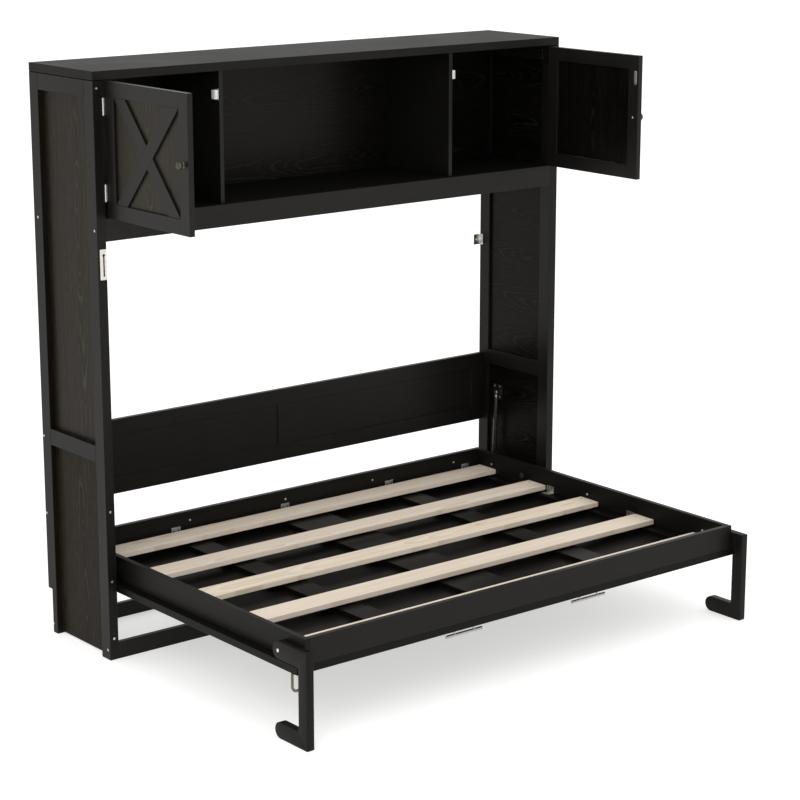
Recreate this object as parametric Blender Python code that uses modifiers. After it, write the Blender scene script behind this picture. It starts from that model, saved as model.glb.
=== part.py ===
# Full-size wall bed that folds up into a cabinet with a two-door hutch.
#
# Design coordinates are millimetres in a corner frame: x to the right from the
# cabinet's left outer face, y to the rear from the cabinet's front plane (the
# bed reaches forward to negative y), z up from the floor. at() turns them into
# world metres with the origin at the centre of the footprint.
# The rest position is the bed folded down, legs down and both doors open.

import math

import bmesh
import bpy
from mathutils import Matrix, Vector

for ob in list(bpy.data.objects):
    bpy.data.objects.remove(ob, do_unlink=True)

# ---------------------------------------------------------------- dimensions
CAB_W = 2100.0          # cabinet width
CAB_D = 415.0           # cabinet depth
CAB_H = 2063.0          # cabinet height
GAP = 0.3               # gap between pieces that touch

POST_X = 35.0           # post thickness across the cabinet
POST_Y = 56.0           # post width front to back
TOP_T = 30.0            # top board thickness
SIDE_PANEL_X = 20.0     # side panel's outer face, in from the side
SIDE_PANEL_T = 4.5
SIDE_TOP_RAIL_H = 59.0
MID_RAIL_Z = (712.0, 771.0)
BASEBOARD_D = 26.0      # notch at the back of the rear posts
BASEBOARD_H = 164.0
BOLT_R = 5.5            # counterbores for the frame bolts
BOLT_DEPTH = 3.5
BOLTS_FRONT = ((15.5, 2006.0), (18.0, 541.0), (17.0, 288.0), (18.0, 77.5))          # left front post, front face: x, z
BOLTS_SIDE_FRONT = ((18.0, 1527.5), (18.0, 34.5))                                   # front post, outer side: y, z
BOLTS_SIDE_REAR = ((391.0, 1527.5), (407.5, 736.0), (407.5, 448.0), (387.5, 33.0))  # rear post, outer side: y, z

HUTCH_Z = 1568.0        # hutch floor
HUTCH_RAIL_H = 79.0
BOARD_T = 20.0          # hutch rail, base rails and bed rails
DIVIDER_X = (521.0, 537.0)
BACK_Y = 388.0          # front of the hutch back panel

GUARD_Z = (471.0, 751.0)
GUARD_Y = (392.0, 412.0)
GUARD_RAIL = 60.0
BASE_FRONT_H = 61.0
BASE_REAR_H = 56.0
BASE_REAR_Y = (369.0, 388.0)

DOOR_AXIS = (36.0, -5.0)    # hinge axis, left door
DOOR_W = 492.0
DOOR_T = 20.0
DOOR_Z = (1570.5, 2030.5)
DOOR_STILE = 53.0
DOOR_RAIL = 51.5
BRACE_CUT = 68.0            # length of a brace's end along the frame
FIELD_GAP = 0.5             # gap around the door's panel and braces, clear of the frame's eased corners
HINGE_Z = (1655.0, 1945.0)
HINGE_H = 56.0

PIVOT = (81.5, 301.5)       # bed pivot, y and z
PIN_R = 8.0
BED_FRONT = -1050.0
BED_REAR = 378.0
RAIL_X = 72.3               # outer face of the left bed rail
RAIL_Z = (268.3, 357.0)
FACE_X = 41.0               # outer edge of the face panel
FACE_Z = (242.5, 268.0)
FACE_REAR = 370.0
FACE_WEB = (245.5, 249.0)   # thin panels inside the face frame
FACE_STILES = ((41.0, 138.0), (493.0, 593.0), (948.0, 1152.0), (1507.0, 1607.0), (1962.0, 2059.0))
FACE_RAIL = 95.0
SLAT_FRONT = (238.0, -64.0, -368.0, -672.0, -977.0)
SLAT_W = 100.0
SLAT_Z = (275.5, 294.5)

LEG_X = (41.0, 69.0)
LEG_FRONT = -1102.0
LEG_W = 47.0
LEG_TOP = 329.5
LEG_BOLT = (-949.0, 299.5)
LEG_ARM_R = 30.0
FOOT_H = 56.0
FOOT_REAR = -927.0

STRUT_X = 50.0
STRUT_TOP = (288.0, 603.0)
STRUT_LOW = (300.0, 285.0)
TUBE_R = 9.0
BORE_R = 4.9
ROD_R = 4.0

BAIL_X = (46.0, 96.0)            # only the left side has the catch
BAIL_Y = -1012.0
BAIL_Z = (170.0, 238.0)
BAIL_T = 7.0

HANDLE_X = 763.0            # centre of the left handle
HANDLE_Y = -1018.0
HANDLE_Z = 217.0
HANDLE_L = 158.0
HANDLE_POST = 42.0          # each side of the middle

# ------------------------------------------------------------- frame helpers
X0 = CAB_W / 2.0
Y0 = -(LEG_FRONT + CAB_D) / 2.0
MM = 0.001


def at(x, y, z):
    return Vector(((x - X0) * MM, (y + Y0) * MM, z * MM))


def side_x(side, x):
    """A left-hand x, mirrored for the right side."""
    return x if side == "left" else CAB_W - x


def span(side, a, b):
    """A left-hand x range, mirrored for the right side, low value first."""
    p, q = side_x(side, a), side_x(side, b)
    return (min(p, q), max(p, q))


# --------------------------------------------------- collections, materials
parts = bpy.data.collections.new("wall_bed")
bpy.context.scene.collection.children.link(parts)
cutters = bpy.data.collections.new("cutters")
bpy.context.scene.collection.children.link(cutters)


def material(name, colour, rough, metal=0.0):
    m = bpy.data.materials.new(name)
    m.use_nodes = True
    b = m.node_tree.nodes["Principled BSDF"]
    b.inputs["Base Color"].default_value = (*colour, 1.0)
    b.inputs["Roughness"].default_value = rough
    b.inputs["Metallic"].default_value = metal
    m.diffuse_color = (*colour, 1.0)
    return m


PAINT = material("black_paint", (0.022, 0.021, 0.020), 0.42)
GRAIN = material("black_oak_grain", (0.035, 0.030, 0.025), 0.5)
PINE = material("pine", (0.69, 0.58, 0.46), 0.6)
STEEL = material("nickel_steel", (0.62, 0.60, 0.57), 0.3, 1.0)
CHROME = material("chrome", (0.8, 0.8, 0.8), 0.12, 1.0)
KNOB = material("dark_bronze", (0.06, 0.05, 0.045), 0.35, 0.8)
TUBE = material("black_enamel", (0.03, 0.03, 0.03), 0.3, 0.3)


def empty(name, loc):
    e = bpy.data.objects.new(name, None)
    e.empty_display_size = 0.05
    e.location = loc
    parts.objects.link(e)
    return e


BED = empty("bed_pivot_axis", at(X0, PIVOT[0], PIVOT[1]))
DOOR_EMPTY = {s: empty("door_axis_" + s, at(side_x(s, DOOR_AXIS[0]), DOOR_AXIS[1], 1800.0)) for s in ("left", "right")}
LEG_EMPTY = {s: empty("leg_axis_" + s, at(side_x(s, 55.0), *LEG_BOLT)) for s in ("left", "right")}
STRUT_EMPTY = {s: empty("strut_axis_" + s, at(side_x(s, STRUT_X), *STRUT_TOP)) for s in ("left", "right")}
BAIL_EMPTY = empty("bail_axis_left", at(sum(BAIL_X) / 2, BAIL_Y, BAIL_Z[1] - 4.0))


def place(ob, loc, parent=None, mat=None, coll=parts):
    coll.objects.link(ob)
    if parent is not None:
        ob.parent = parent
        ob.location = loc - parent.location
    else:
        ob.location = loc
    if mat is not None:
        ob.data.materials.append(mat)
    return ob


def mesh_object(name, bm, loc, parent=None, mat=None, coll=parts):
    me = bpy.data.meshes.new(name)
    bm.to_mesh(me)
    bm.free()
    return place(bpy.data.objects.new(name, me), loc, parent, mat, coll)


def add_box(bm, centre, lo, hi, turn=None):
    """Add a box between two corners in mm to bm, whose origin is centre in world metres."""
    a, b = at(*lo), at(*hi)
    size = b - a
    m = Matrix.Translation((a + b) / 2 - centre)
    if turn is not None:
        m = m @ turn
    m = m @ Matrix.Diagonal((abs(size.x), abs(size.y), abs(size.z), 1.0))
    bmesh.ops.create_cube(bm, size=1.0, matrix=m)


def bevel(ob, width, segments=1):
    m = ob.modifiers.new("edges", "BEVEL")
    m.width = width * MM
    m.segments = segments
    m.limit_method = "ANGLE"
    m.angle_limit = math.radians(30)
    m.offset_type = "OFFSET"
    m.profile = 0.5


def boolean(ob, tool, mode="DIFFERENCE"):
    m = ob.modifiers.new(mode.lower(), "BOOLEAN")
    m.operation = mode
    m.solver = "EXACT"
    m.object = tool


def cutter_object(ob):
    ob.hide_render = True
    ob.display_type = "WIRE"
    return ob


def box_cutter(name, boxes):
    """One cutter made of separate boxes, each (lo, hi) in mm with an optional turn."""
    c = at(X0, 0, 0)
    bm = bmesh.new()
    for b in boxes:
        add_box(bm, c, b[0], b[1], b[2] if len(b) > 2 else None)
    return cutter_object(mesh_object(name, bm, c, coll=cutters))


def board(name, x, y, z, mat, edge=1.0, seg=1, parent=None, cut=None, grooves=None):
    """A board between x, y and z ranges in mm, with cut boxes before its bevel and grooves after it."""
    lo, hi = (x[0], y[0], z[0]), (x[1], y[1], z[1])
    centre = (at(*lo) + at(*hi)) / 2
    bm = bmesh.new()
    add_box(bm, centre, lo, hi)
    ob = mesh_object(name, bm, centre, parent, mat)
    if cut:
        boolean(ob, box_cutter("cut_" + name, cut))
    if edge > 0:
        bevel(ob, edge, seg)
    if grooves:
        boolean(ob, box_cutter("grooves_" + name, grooves))
    return ob


def add_cylinder(bm, centre, p, q, r, sides):
    """Add a cylinder of radius r mm from p to q (mm) to bm, whose origin is centre."""
    a, b = at(*p), at(*q)
    d = b - a
    rot = Vector((0, 0, 1)).rotation_difference(d).to_matrix().to_4x4()
    m = Matrix.Translation((a + b) / 2 - centre) @ rot
    bmesh.ops.create_cone(bm, cap_ends=True, segments=sides, radius1=r * MM, radius2=r * MM, depth=d.length, matrix=m)


def cylinder_cutter(name, p, q, r, sides=32):
    bm = bmesh.new()
    c = (at(*p) + at(*q)) / 2
    add_cylinder(bm, c, p, q, r, sides)
    return cutter_object(mesh_object(name, bm, c, coll=cutters))


def bore_cutter(name, bores, r, sides=20):
    """One cutter made of separate cylinders, each given by its two ends in mm."""
    c = at(X0, 0, 0)
    bm = bmesh.new()
    for p, q in bores:
        add_cylinder(bm, c, p, q, r, sides)
    return cutter_object(mesh_object(name, bm, c, coll=cutters))


def arc(cx, cy, r, a0, a1, n):
    return [(cx + r * math.cos(math.radians(a0 + (a1 - a0) * i / n)),
             cy + r * math.sin(math.radians(a0 + (a1 - a0) * i / n))) for i in range(n + 1)]


def rounded(x0, x1, y0, y1, r, n=4):
    return (arc(x1 - r, y1 - r, r, 0, 90, n) + arc(x0 + r, y1 - r, r, 90, 180, n)
            + arc(x0 + r, y0 + r, r, 180, 270, n) + arc(x1 - r, y0 + r, r, 270, 360, n))


def outline(name, loops, plane, lo, hi, mat, edge=0.0, seg=1, parent=None, origin=None):
    """A flat piece: a 2D curve of closed loops in a plane ("xy", "yz" or "xz"), from lo to hi across it."""
    cu = bpy.data.curves.new(name + "_outline", "CURVE")
    cu.dimensions = "2D"
    cu.fill_mode = "BOTH"
    cu.extrude = abs(hi - lo) / 2 * MM
    for loop in loops:
        sp = cu.splines.new("POLY")
        sp.points.add(len(loop) - 1)
        for p, (u, v) in zip(sp.points, loop):
            p.co = (u * MM, v * MM, 0, 1)
        sp.use_cyclic_u = True
    tmp = bpy.data.objects.new(name + "_outline", cu)
    parts.objects.link(tmp)
    mid = (lo + hi) / 2
    if plane == "xy":
        m = Matrix.Translation(at(0, 0, mid))
    elif plane == "yz":
        m = Matrix.Translation(at(mid, 0, 0)) @ Matrix(((0, 0, 1, 0), (1, 0, 0, 0), (0, 1, 0, 0), (0, 0, 0, 1)))
    else:
        m = Matrix.Translation(at(0, mid, 0)) @ Matrix(((1, 0, 0, 0), (0, 0, -1, 0), (0, 1, 0, 0), (0, 0, 0, 1)))
    tmp.matrix_world = m
    bpy.context.view_layer.update()
    me = bpy.data.meshes.new_from_object(tmp.evaluated_get(bpy.context.evaluated_depsgraph_get()))
    world = tmp.matrix_world.copy()
    bpy.data.objects.remove(tmp, do_unlink=True)
    bm = bmesh.new()
    bm.from_mesh(me)
    bpy.data.meshes.remove(me)
    bmesh.ops.transform(bm, matrix=world, verts=bm.verts)
    bmesh.ops.remove_doubles(bm, verts=bm.verts, dist=0.00001)
    bmesh.ops.dissolve_limit(bm, angle_limit=math.radians(1), verts=bm.verts, edges=bm.edges)
    bmesh.ops.recalc_face_normals(bm, faces=bm.faces)
    if origin is None:
        cs = [v.co for v in bm.verts]
        origin = Vector([(min(c[i] for c in cs) + max(c[i] for c in cs)) / 2 for i in range(3)])
    bmesh.ops.translate(bm, verts=bm.verts, vec=-origin)
    ob = mesh_object(name, bm, origin, parent, mat)
    if edge > 0:
        bevel(ob, edge, seg)
    return ob


def turned(name, profile, steps, loc, rotation, mat, parent=None):
    """A turned piece: (radius, height) points in mm, outer side from top to bottom, about local Z."""
    bm = bmesh.new()
    vs = [bm.verts.new((r * MM, 0, h * MM)) for r, h in profile]
    for a, b in zip(vs, vs[1:]):
        bm.edges.new((a, b))
    ob = mesh_object(name, bm, loc, parent, mat)
    ob.rotation_euler = rotation
    s = ob.modifiers.new("turn", "SCREW")
    s.angle = math.radians(360)
    s.steps = steps
    s.render_steps = steps
    s.use_merge_vertices = True
    s.merge_threshold = 0.00005
    s.use_smooth_shade = True
    return ob


# ------------------------------------------------------------ cabinet frame
rear_y = (CAB_D - POST_Y, CAB_D)
post_top = CAB_H - TOP_T - GAP
for s in ("left", "right"):
    px = span(s, 0.0, POST_X)
    front = board("post_front_" + s, px, (0.0, POST_Y), (0.0, post_top), PAINT, 1.2, 2)
    rear = board("post_rear_" + s, px, rear_y, (0.0, post_top), PAINT, 1.2, 2,
                 cut=[((px[0] - 5, CAB_D - BASEBOARD_D, -5), (px[1] + 5, CAB_D + 5, BASEBOARD_H))])
    # counterbores that the frame bolts' heads sit in
    out0, out1 = side_x(s, -2.0), side_x(s, BOLT_DEPTH)
    boolean(front, bore_cutter("bores_front_" + s,
                               [((bx, -2.0, bz), (bx, BOLT_DEPTH, bz)) for bx, bz in BOLTS_FRONT if s == "left"]
                               + [((out0, by, bz), (out1, by, bz)) for by, bz in BOLTS_SIDE_FRONT], BOLT_R))
    boolean(rear, bore_cutter("bores_rear_" + s,
                              [((out0, by, bz), (out1, by, bz)) for by, bz in BOLTS_SIDE_REAR], BOLT_R))
    inner_y = (POST_Y + GAP, rear_y[0] - GAP)
    board("side_top_rail_" + s, px, inner_y, (post_top - SIDE_TOP_RAIL_H, post_top), PAINT, 1.0)
    board("side_mid_rail_" + s, px, inner_y, MID_RAIL_Z, PAINT, 1.0)
    pan = span(s, SIDE_PANEL_X, SIDE_PANEL_X + SIDE_PANEL_T)
    board("side_upper_panel_" + s, pan, inner_y, (MID_RAIL_Z[1] + GAP, post_top - SIDE_TOP_RAIL_H - GAP), GRAIN, 0.0)
    board("side_lower_panel_" + s, pan, inner_y, (8.0, MID_RAIL_Z[0] - GAP), GRAIN, 0.0)

# The top board: fine saw-kerf joints show on both ends where its edge strips meet the field.
joints = []
for yj in (POST_Y, rear_y[0]):
    joints.append(((-2.0, yj - 0.4, CAB_H - TOP_T - 2), (0.9, yj + 0.4, CAB_H + 2)))
    joints.append(((CAB_W - 0.9, yj - 0.4, CAB_H - TOP_T - 2), (CAB_W + 2.0, yj + 0.4, CAB_H + 2)))
board("top_board", (0.0, CAB_W), (0.0, CAB_D), (CAB_H - TOP_T, CAB_H), PAINT, 1.5, 2, grooves=joints)

# ------------------------------------------------------------------- hutch
inside = (POST_X + GAP, CAB_W - POST_X - GAP)
board("hutch_front_rail", inside, (0.0, BOARD_T), (HUTCH_Z - HUTCH_RAIL_H, HUTCH_Z), PAINT, 1.0, 2)
tab = SIDE_PANEL_X + SIDE_PANEL_T + 0.5
floor_loop = [(inside[0], BOARD_T + GAP), (inside[1], BOARD_T + GAP), (inside[1], POST_Y + 0.6),
              (CAB_W - tab, POST_Y + 0.6), (CAB_W - tab, rear_y[0] - 0.6), (inside[1], rear_y[0] - 0.6),
              (inside[1], BACK_Y - 0.5), (inside[0], BACK_Y - 0.5), (inside[0], rear_y[0] - 0.6),
              (tab, rear_y[0] - 0.6), (tab, POST_Y + 0.6), (inside[0], POST_Y + 0.6)]
outline("hutch_floor", [floor_loop], "xy", HUTCH_Z - 15.0, HUTCH_Z - 0.2, PAINT)
board("hutch_back_panel", inside, (BACK_Y, BACK_Y + 4.5), (HUTCH_Z - 15.0, post_top), GRAIN, 0.0)
for s in ("left", "right"):
    board("hutch_divider_" + s, span(s, *DIVIDER_X), (21.0, BACK_Y - GAP), (HUTCH_Z + GAP, post_top), PAINT, 0.8)

# ------------------------------------------------- guard board, base rails
gx = [(inside[0] + GUARD_RAIL, X0 - 27.0), (X0 + 27.0, inside[1] - GUARD_RAIL)]
fields = []
for a, b in gx:
    fields.append(((a, GUARD_Y[0] - 5, GUARD_Z[0] + GUARD_RAIL), (b, GUARD_Y[0] + 5.5, GUARD_Z[1] - GUARD_RAIL)))
    fields.append(((a, GUARD_Y[1] - 5.5, GUARD_Z[0] + GUARD_RAIL), (b, GUARD_Y[1] + 5, GUARD_Z[1] - GUARD_RAIL)))
board("back_guard", inside, GUARD_Y, GUARD_Z, PAINT, 0.8, cut=fields)
board("base_front_rail", inside, (0.0, BOARD_T), (0.0, BASE_FRONT_H), PAINT, 1.0, 2)
board("base_rear_rail", inside, BASE_REAR_Y, (0.0, BASE_REAR_H), PAINT, 1.0)

# --------------------------------------------------- cabinet-side hardware
# latch strike plate on the front face of the left front post, with a keyhole slot
slot = arc(22.0, 1444.0, 5.2, -58.7, 238.7, 12) + arc(22.0, 1374.0, 2.7, 180, 360, 6)
outline("latch_strike_left", [rounded(7.0, 34.0, 1360.0, 1465.5, 3.0, 3), slot], "xz", -2.3, -0.3, STEEL)
for s in ("left", "right"):
    # wall bracket: one leg on the post's inner face, one on the wall
    w = [(35.3, 396.0), (37.6, 396.0), (37.6, 412.7), (70.5, 412.7), (70.5, 415.0), (35.3, 415.0)]
    loop = [(side_x(s, a), b) for a, b in w]
    outline("wall_bracket_" + s, [loop], "xy", 1201.0, 1243.0, STEEL)
    # pivot plate on the post with the pin that the bed turns on
    xa, xb = span(s, 35.3, 39.3)
    plate = outline("pivot_plate_" + s, [rounded(12.0, 112.0, 264.0, 339.0, 12.0, 4)], "yz", xa, xb, STEEL)
    pin = cylinder_cutter("pin_" + s, (side_x(s, 37.3), *PIVOT), (side_x(s, RAIL_X + BOARD_T - 0.6), *PIVOT), PIN_R, 32)
    boolean(plate, pin, "UNION")
    # door hinges: knuckle and the leaf on the post
    for n, zc in (("lower", HINGE_Z[0]), ("upper", HINGE_Z[1])):
        hx = span(s, POST_X + GAP, POST_X + GAP + 1.2)
        h = board("door_hinge_%s_%s" % (n, s), hx, (-5.0, 16.0), (zc - HINGE_H / 2, zc + HINGE_H / 2), STEEL, 0.0)
        ax = side_x(s, DOOR_AXIS[0])
        k = cylinder_cutter("knuckle_%s_%s" % (n, s), (ax, DOOR_AXIS[1], zc - HINGE_H / 2 - 2.0),
                            (ax, DOOR_AXIS[1], zc + HINGE_H / 2 + 2.0), 4.2, 20)
        boolean(h, k, "UNION")

# ------------------------------------------------------------------- doors
for s in ("left", "right"):
    e = DOOR_EMPTY[s]
    out = DOOR_AXIS[0] - DOOR_AXIS[1]           # outer face of the open door, from the side

    def door_x(t0, t1):
        return span(s, out + t0, out + t1)

    def door_y(s0, s1):
        return (DOOR_AXIS[1] - 2.0 - s1, DOOR_AXIS[1] - 2.0 - s0)

    zr = (DOOR_Z[0] + DOOR_RAIL, DOOR_Z[1] - DOOR_RAIL)
    hole_y = door_y(DOOR_STILE, DOOR_W - DOOR_STILE)
    fx = door_x(0.0, DOOR_T)
    seams = []
    for yy in hole_y:
        for zz in ((DOOR_Z[0] - 2, zr[0] + 1), (zr[1] - 1, DOOR_Z[1] + 2)):
            seams.append(((fx[0] - 2, yy - 0.35, zz[0]), (fx[0] + 0.6, yy + 0.35, zz[1])))
            seams.append(((fx[1] - 0.6, yy - 0.35, zz[0]), (fx[1] + 2, yy + 0.35, zz[1])))
    board("door_frame_" + s, fx, door_y(0.0, DOOR_W), DOOR_Z, PAINT, 1.2, 2, parent=e,
          cut=[((fx[0] - 5, hole_y[0], zr[0]), (fx[1] + 5, hole_y[1], zr[1]))], grooves=seams)
    board("door_panel_" + s, door_x(8.6, 12.6), (hole_y[0] + FIELD_GAP, hole_y[1] - FIELD_GAP),
          (zr[0] + FIELD_GAP, zr[1] - FIELD_GAP), GRAIN, 0.0, parent=e)
    # crossed braces on the outer face: one runs through, the other butts against it
    g = FIELD_GAP
    ya, yb, za, zb = hole_y[0] + g, hole_y[1] - g, zr[0] + g, zr[1] - g
    ym, zm = (ya + yb) / 2, (za + zb) / 2
    run = (yb - ya) - BRACE_CUT
    slope = (zb - za) / run
    notch_z = zb - (ym - ya - BRACE_CUT) * slope
    notch_y = ya + BRACE_CUT + (zb - zm) / slope
    x_loop = [(ya, zb), (ya + BRACE_CUT, zb), (ym, notch_z), (yb - BRACE_CUT, zb), (yb, zb),
              (notch_y, zm), (yb, za), (yb - BRACE_CUT, za), (ym, 2 * zm - notch_z), (ya + BRACE_CUT, za),
              (ya, za), (2 * ym - notch_y, zm)]
    bx = door_x(1.2, 8.3)
    brace = outline("door_brace_" + s, [x_loop], "yz", bx[0], bx[1], PAINT, 0.7, 1, parent=e)
    # the joint lines where the second brace meets the first
    face_x = bx[0] if s == "left" else bx[1]
    tool = []
    length = math.hypot(ym - notch_y, zm - notch_z)
    tilt = math.atan2(notch_z - zm, ym - notch_y)
    for cy, cz in (((ym + notch_y) / 2, (zm + notch_z) / 2),
                   (2 * ym - (ym + notch_y) / 2, 2 * zm - (zm + notch_z) / 2)):
        tool.append(((face_x - 0.5, cy - length / 2 + 1.0, cz - 0.3), (face_x + 0.5, cy + length / 2 - 1.0, cz + 0.3),
                     Matrix.Rotation(tilt, 4, "X")))
    boolean(brace, box_cutter("grooves_brace_" + s, tool))
    # knob
    knob = [(0, 27.0), (4.5, 26.8), (8.5, 25.8), (11.5, 23.8), (13.4, 20.8), (14.0, 17.6), (12.8, 14.8), (9.0, 12.6),
            (6.2, 10.4), (5.2, 7.0), (5.6, 4.0), (8.0, 2.4), (10.0, 1.8), (10.4, 0.9), (10.2, 0.3), (0, 0.3)]
    ky = DOOR_AXIS[1] - 2.0 - (DOOR_W - DOOR_STILE / 2)
    turned("door_knob_" + s, knob, 24, at(side_x(s, out), ky, (DOOR_Z[0] + DOOR_Z[1]) / 2),
           (0, math.radians(-90 if s == "left" else 90), 0), KNOB, parent=e)

# --------------------------------------------------------------------- bed
rail_in = RAIL_X + BOARD_T
for s in ("left", "right"):
    rail = board("bed_rail_" + s, span(s, RAIL_X, rail_in), (BED_FRONT, BED_REAR), RAIL_Z, PAINT, 1.2, 2, parent=BED)
    bore = cylinder_cutter("bore_" + s, (side_x(s, RAIL_X - 5), *PIVOT), (side_x(s, rail_in + 5), *PIVOT), PIN_R + 0.4, 32)
    boolean(rail, bore)
across = (rail_in + GAP, CAB_W - rail_in - GAP)
board("bed_rail_front", across, (BED_FRONT, BED_FRONT + BOARD_T), RAIL_Z, PAINT, 1.2, 2, parent=BED)
board("bed_rail_rear", across, (BED_REAR - BOARD_T, BED_REAR), RAIL_Z, PAINT, 1.2, 2, parent=BED)

pockets = []
for a, b in zip(FACE_STILES, FACE_STILES[1:]):
    y = (BED_FRONT + FACE_RAIL, FACE_REAR - FACE_RAIL)
    pockets.append(((a[1], y[0], FACE_WEB[1]), (b[0], y[1], FACE_Z[1] + 5)))
    pockets.append(((a[1], y[0], FACE_Z[0] - 5), (b[0], y[1], FACE_WEB[0])))
kerfs = []
for xj in (FACE_STILES[0][1], FACE_STILES[-1][0]):
    kerfs.append(((xj - 0.4, BED_FRONT - 2, FACE_Z[0] - 2), (xj + 0.4, BED_FRONT + 0.8, FACE_Z[1] + 2)))
board("face_panel", (FACE_X, CAB_W - FACE_X), (BED_FRONT, FACE_REAR), FACE_Z, PAINT, 1.0, 1, parent=BED,
      cut=pockets, grooves=kerfs)

for i, yf in enumerate(SLAT_FRONT):
    board("slat_%d" % (i + 1), (rail_in + 0.7, CAB_W - rail_in - 0.7), (yf, yf + SLAT_W), SLAT_Z, PINE, 1.5, 2, parent=BED)

for s in ("left", "right"):
    cx = side_x(s, HANDLE_X)
    bm = bmesh.new()
    c = at(cx, HANDLE_Y, HANDLE_Z)
    add_cylinder(bm, c, (cx - HANDLE_L / 2, HANDLE_Y, HANDLE_Z), (cx + HANDLE_L / 2, HANDLE_Y, HANDLE_Z), 5.5, 20)
    ob = mesh_object("face_handle_" + s, bm, c, BED, CHROME)
    for k, dx in enumerate((-HANDLE_POST, HANDLE_POST)):
        boolean(ob, cylinder_cutter("handle_post_%s_%d" % (s, k), (cx + dx, HANDLE_Y, HANDLE_Z),
                                    (cx + dx, HANDLE_Y, FACE_Z[0] - GAP), 4.0, 16), "UNION")

# -------------------------------------------------------------------- legs
ly, lz = LEG_BOLT
inner = LEG_FRONT + LEG_W
leg = ([(LEG_FRONT + 3, 0.0)] + [(FOOT_REAR - FOOT_H / 2, 0.0)]
       + arc(FOOT_REAR - FOOT_H / 2, FOOT_H / 2, FOOT_H / 2, -90, 90, 14)[1:]
       + [(p[0], p[1]) for p in arc(inner + 6, FOOT_H + 6, 6, -90, -180, 4)]
       + [(p[0], p[1]) for p in arc(inner + 6, lz - LEG_ARM_R - 6, 6, 180, 90, 4)]
       + arc(ly, lz, LEG_ARM_R, -90, 90, 16)
       + arc(LEG_FRONT + 3, LEG_TOP - 3, 3, 90, 180, 3)
       + arc(LEG_FRONT + 3, 3, 3, 180, 270, 3)[:-1])
for s in ("left", "right"):
    lx = span(s, *LEG_X)
    outline("leg_" + s, [leg], "yz", lx[0], lx[1], PAINT, 1.2, 1, parent=LEG_EMPTY[s])

# ------------------------------------------------------------- gas struts
dy, dz = STRUT_LOW[0] - STRUT_TOP[0], STRUT_LOW[1] - STRUT_TOP[1]
strut_l = math.hypot(dy, dz)
lean = math.atan2(dy, -dz)
for s in ("left", "right"):
    loc = at(side_x(s, STRUT_X), *STRUT_TOP)
    tube = turned("strut_cylinder_" + s,
                  [(0, -5.0), (7.5, -5.0), (TUBE_R, -7.0), (TUBE_R, -298.5), (7.8, -300.0), (BORE_R, -300.0),
                   (BORE_R, -40.0), (0, -40.0)], 24, loc, (lean, 0, 0), TUBE, parent=STRUT_EMPTY[s])
    sx = side_x(s, STRUT_X)
    boolean(tube, cylinder_cutter("strut_eye_" + s, (sx - 5.5, *STRUT_TOP), (sx + 5.5, *STRUT_TOP), 8.5, 20), "UNION")
    # the rod starts inside the tube and ends in its own eye beside the bed rail
    rod = turned("strut_rod_" + s,
                 [(0, -48.0), (ROD_R, -48.0), (ROD_R, -strut_l + 5.0), (0, -strut_l + 5.0)], 16, loc, (lean, 0, 0),
                 CHROME, parent=STRUT_EMPTY[s])
    boolean(rod, cylinder_cutter("rod_eye_" + s, (sx - 5.0, *STRUT_LOW), (sx + 5.0, *STRUT_LOW), 8.0, 20), "UNION")

# -------------------------------------------------------------- latch bail
def loop_outline(x0, x1, z0, z1, top, bottom, n):
    """A loop hanging from its flat top, round at the bottom."""
    return (arc(x1 - top, z1 - top, top, 0, 90, n) + arc(x0 + top, z1 - top, top, 90, 180, n)
            + arc(x0 + bottom, z0 + bottom, bottom, 180, 270, n + 3) + arc(x1 - bottom, z0 + bottom, bottom, 270, 360, n + 3))


outline("latch_bail_left",
        [loop_outline(*BAIL_X, *BAIL_Z, 4.0, 22.0, 3),
         loop_outline(BAIL_X[0] + 8.5, BAIL_X[1] - 8.5, BAIL_Z[0] + 9.0, BAIL_Z[1] - 6.5, 2.5, 14.0, 3)],
        "xz", BAIL_Y - BAIL_T / 2, BAIL_Y + BAIL_T / 2, STEEL, 0.8, 1, parent=BAIL_EMPTY)
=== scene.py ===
"""Looks for the wall bed: materials, fittings, floor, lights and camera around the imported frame."""
import math

import bmesh
import bpy
from mathutils import Matrix, Vector


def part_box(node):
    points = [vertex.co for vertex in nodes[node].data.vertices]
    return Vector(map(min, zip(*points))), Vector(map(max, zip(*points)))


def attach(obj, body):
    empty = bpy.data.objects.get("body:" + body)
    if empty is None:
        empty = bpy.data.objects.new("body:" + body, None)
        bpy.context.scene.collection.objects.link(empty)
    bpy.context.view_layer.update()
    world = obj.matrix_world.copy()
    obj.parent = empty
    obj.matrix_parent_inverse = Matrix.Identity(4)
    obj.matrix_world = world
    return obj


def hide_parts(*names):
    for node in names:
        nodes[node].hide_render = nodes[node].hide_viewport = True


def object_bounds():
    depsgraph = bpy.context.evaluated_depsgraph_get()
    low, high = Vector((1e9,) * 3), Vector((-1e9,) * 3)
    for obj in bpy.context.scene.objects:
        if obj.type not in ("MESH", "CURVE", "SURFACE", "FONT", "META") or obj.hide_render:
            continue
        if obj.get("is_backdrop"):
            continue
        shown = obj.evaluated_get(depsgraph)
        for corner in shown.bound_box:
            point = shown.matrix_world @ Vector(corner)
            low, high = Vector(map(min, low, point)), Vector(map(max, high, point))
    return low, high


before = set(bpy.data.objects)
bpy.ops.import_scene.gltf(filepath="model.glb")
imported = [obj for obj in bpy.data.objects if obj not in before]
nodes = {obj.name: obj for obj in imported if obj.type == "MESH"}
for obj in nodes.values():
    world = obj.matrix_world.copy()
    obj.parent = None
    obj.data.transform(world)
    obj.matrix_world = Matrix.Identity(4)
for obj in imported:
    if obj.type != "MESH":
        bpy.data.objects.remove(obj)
LO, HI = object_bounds()

MM = 0.001
WIDTH = 2100.0
SIDES = ("left", "right")


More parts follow.
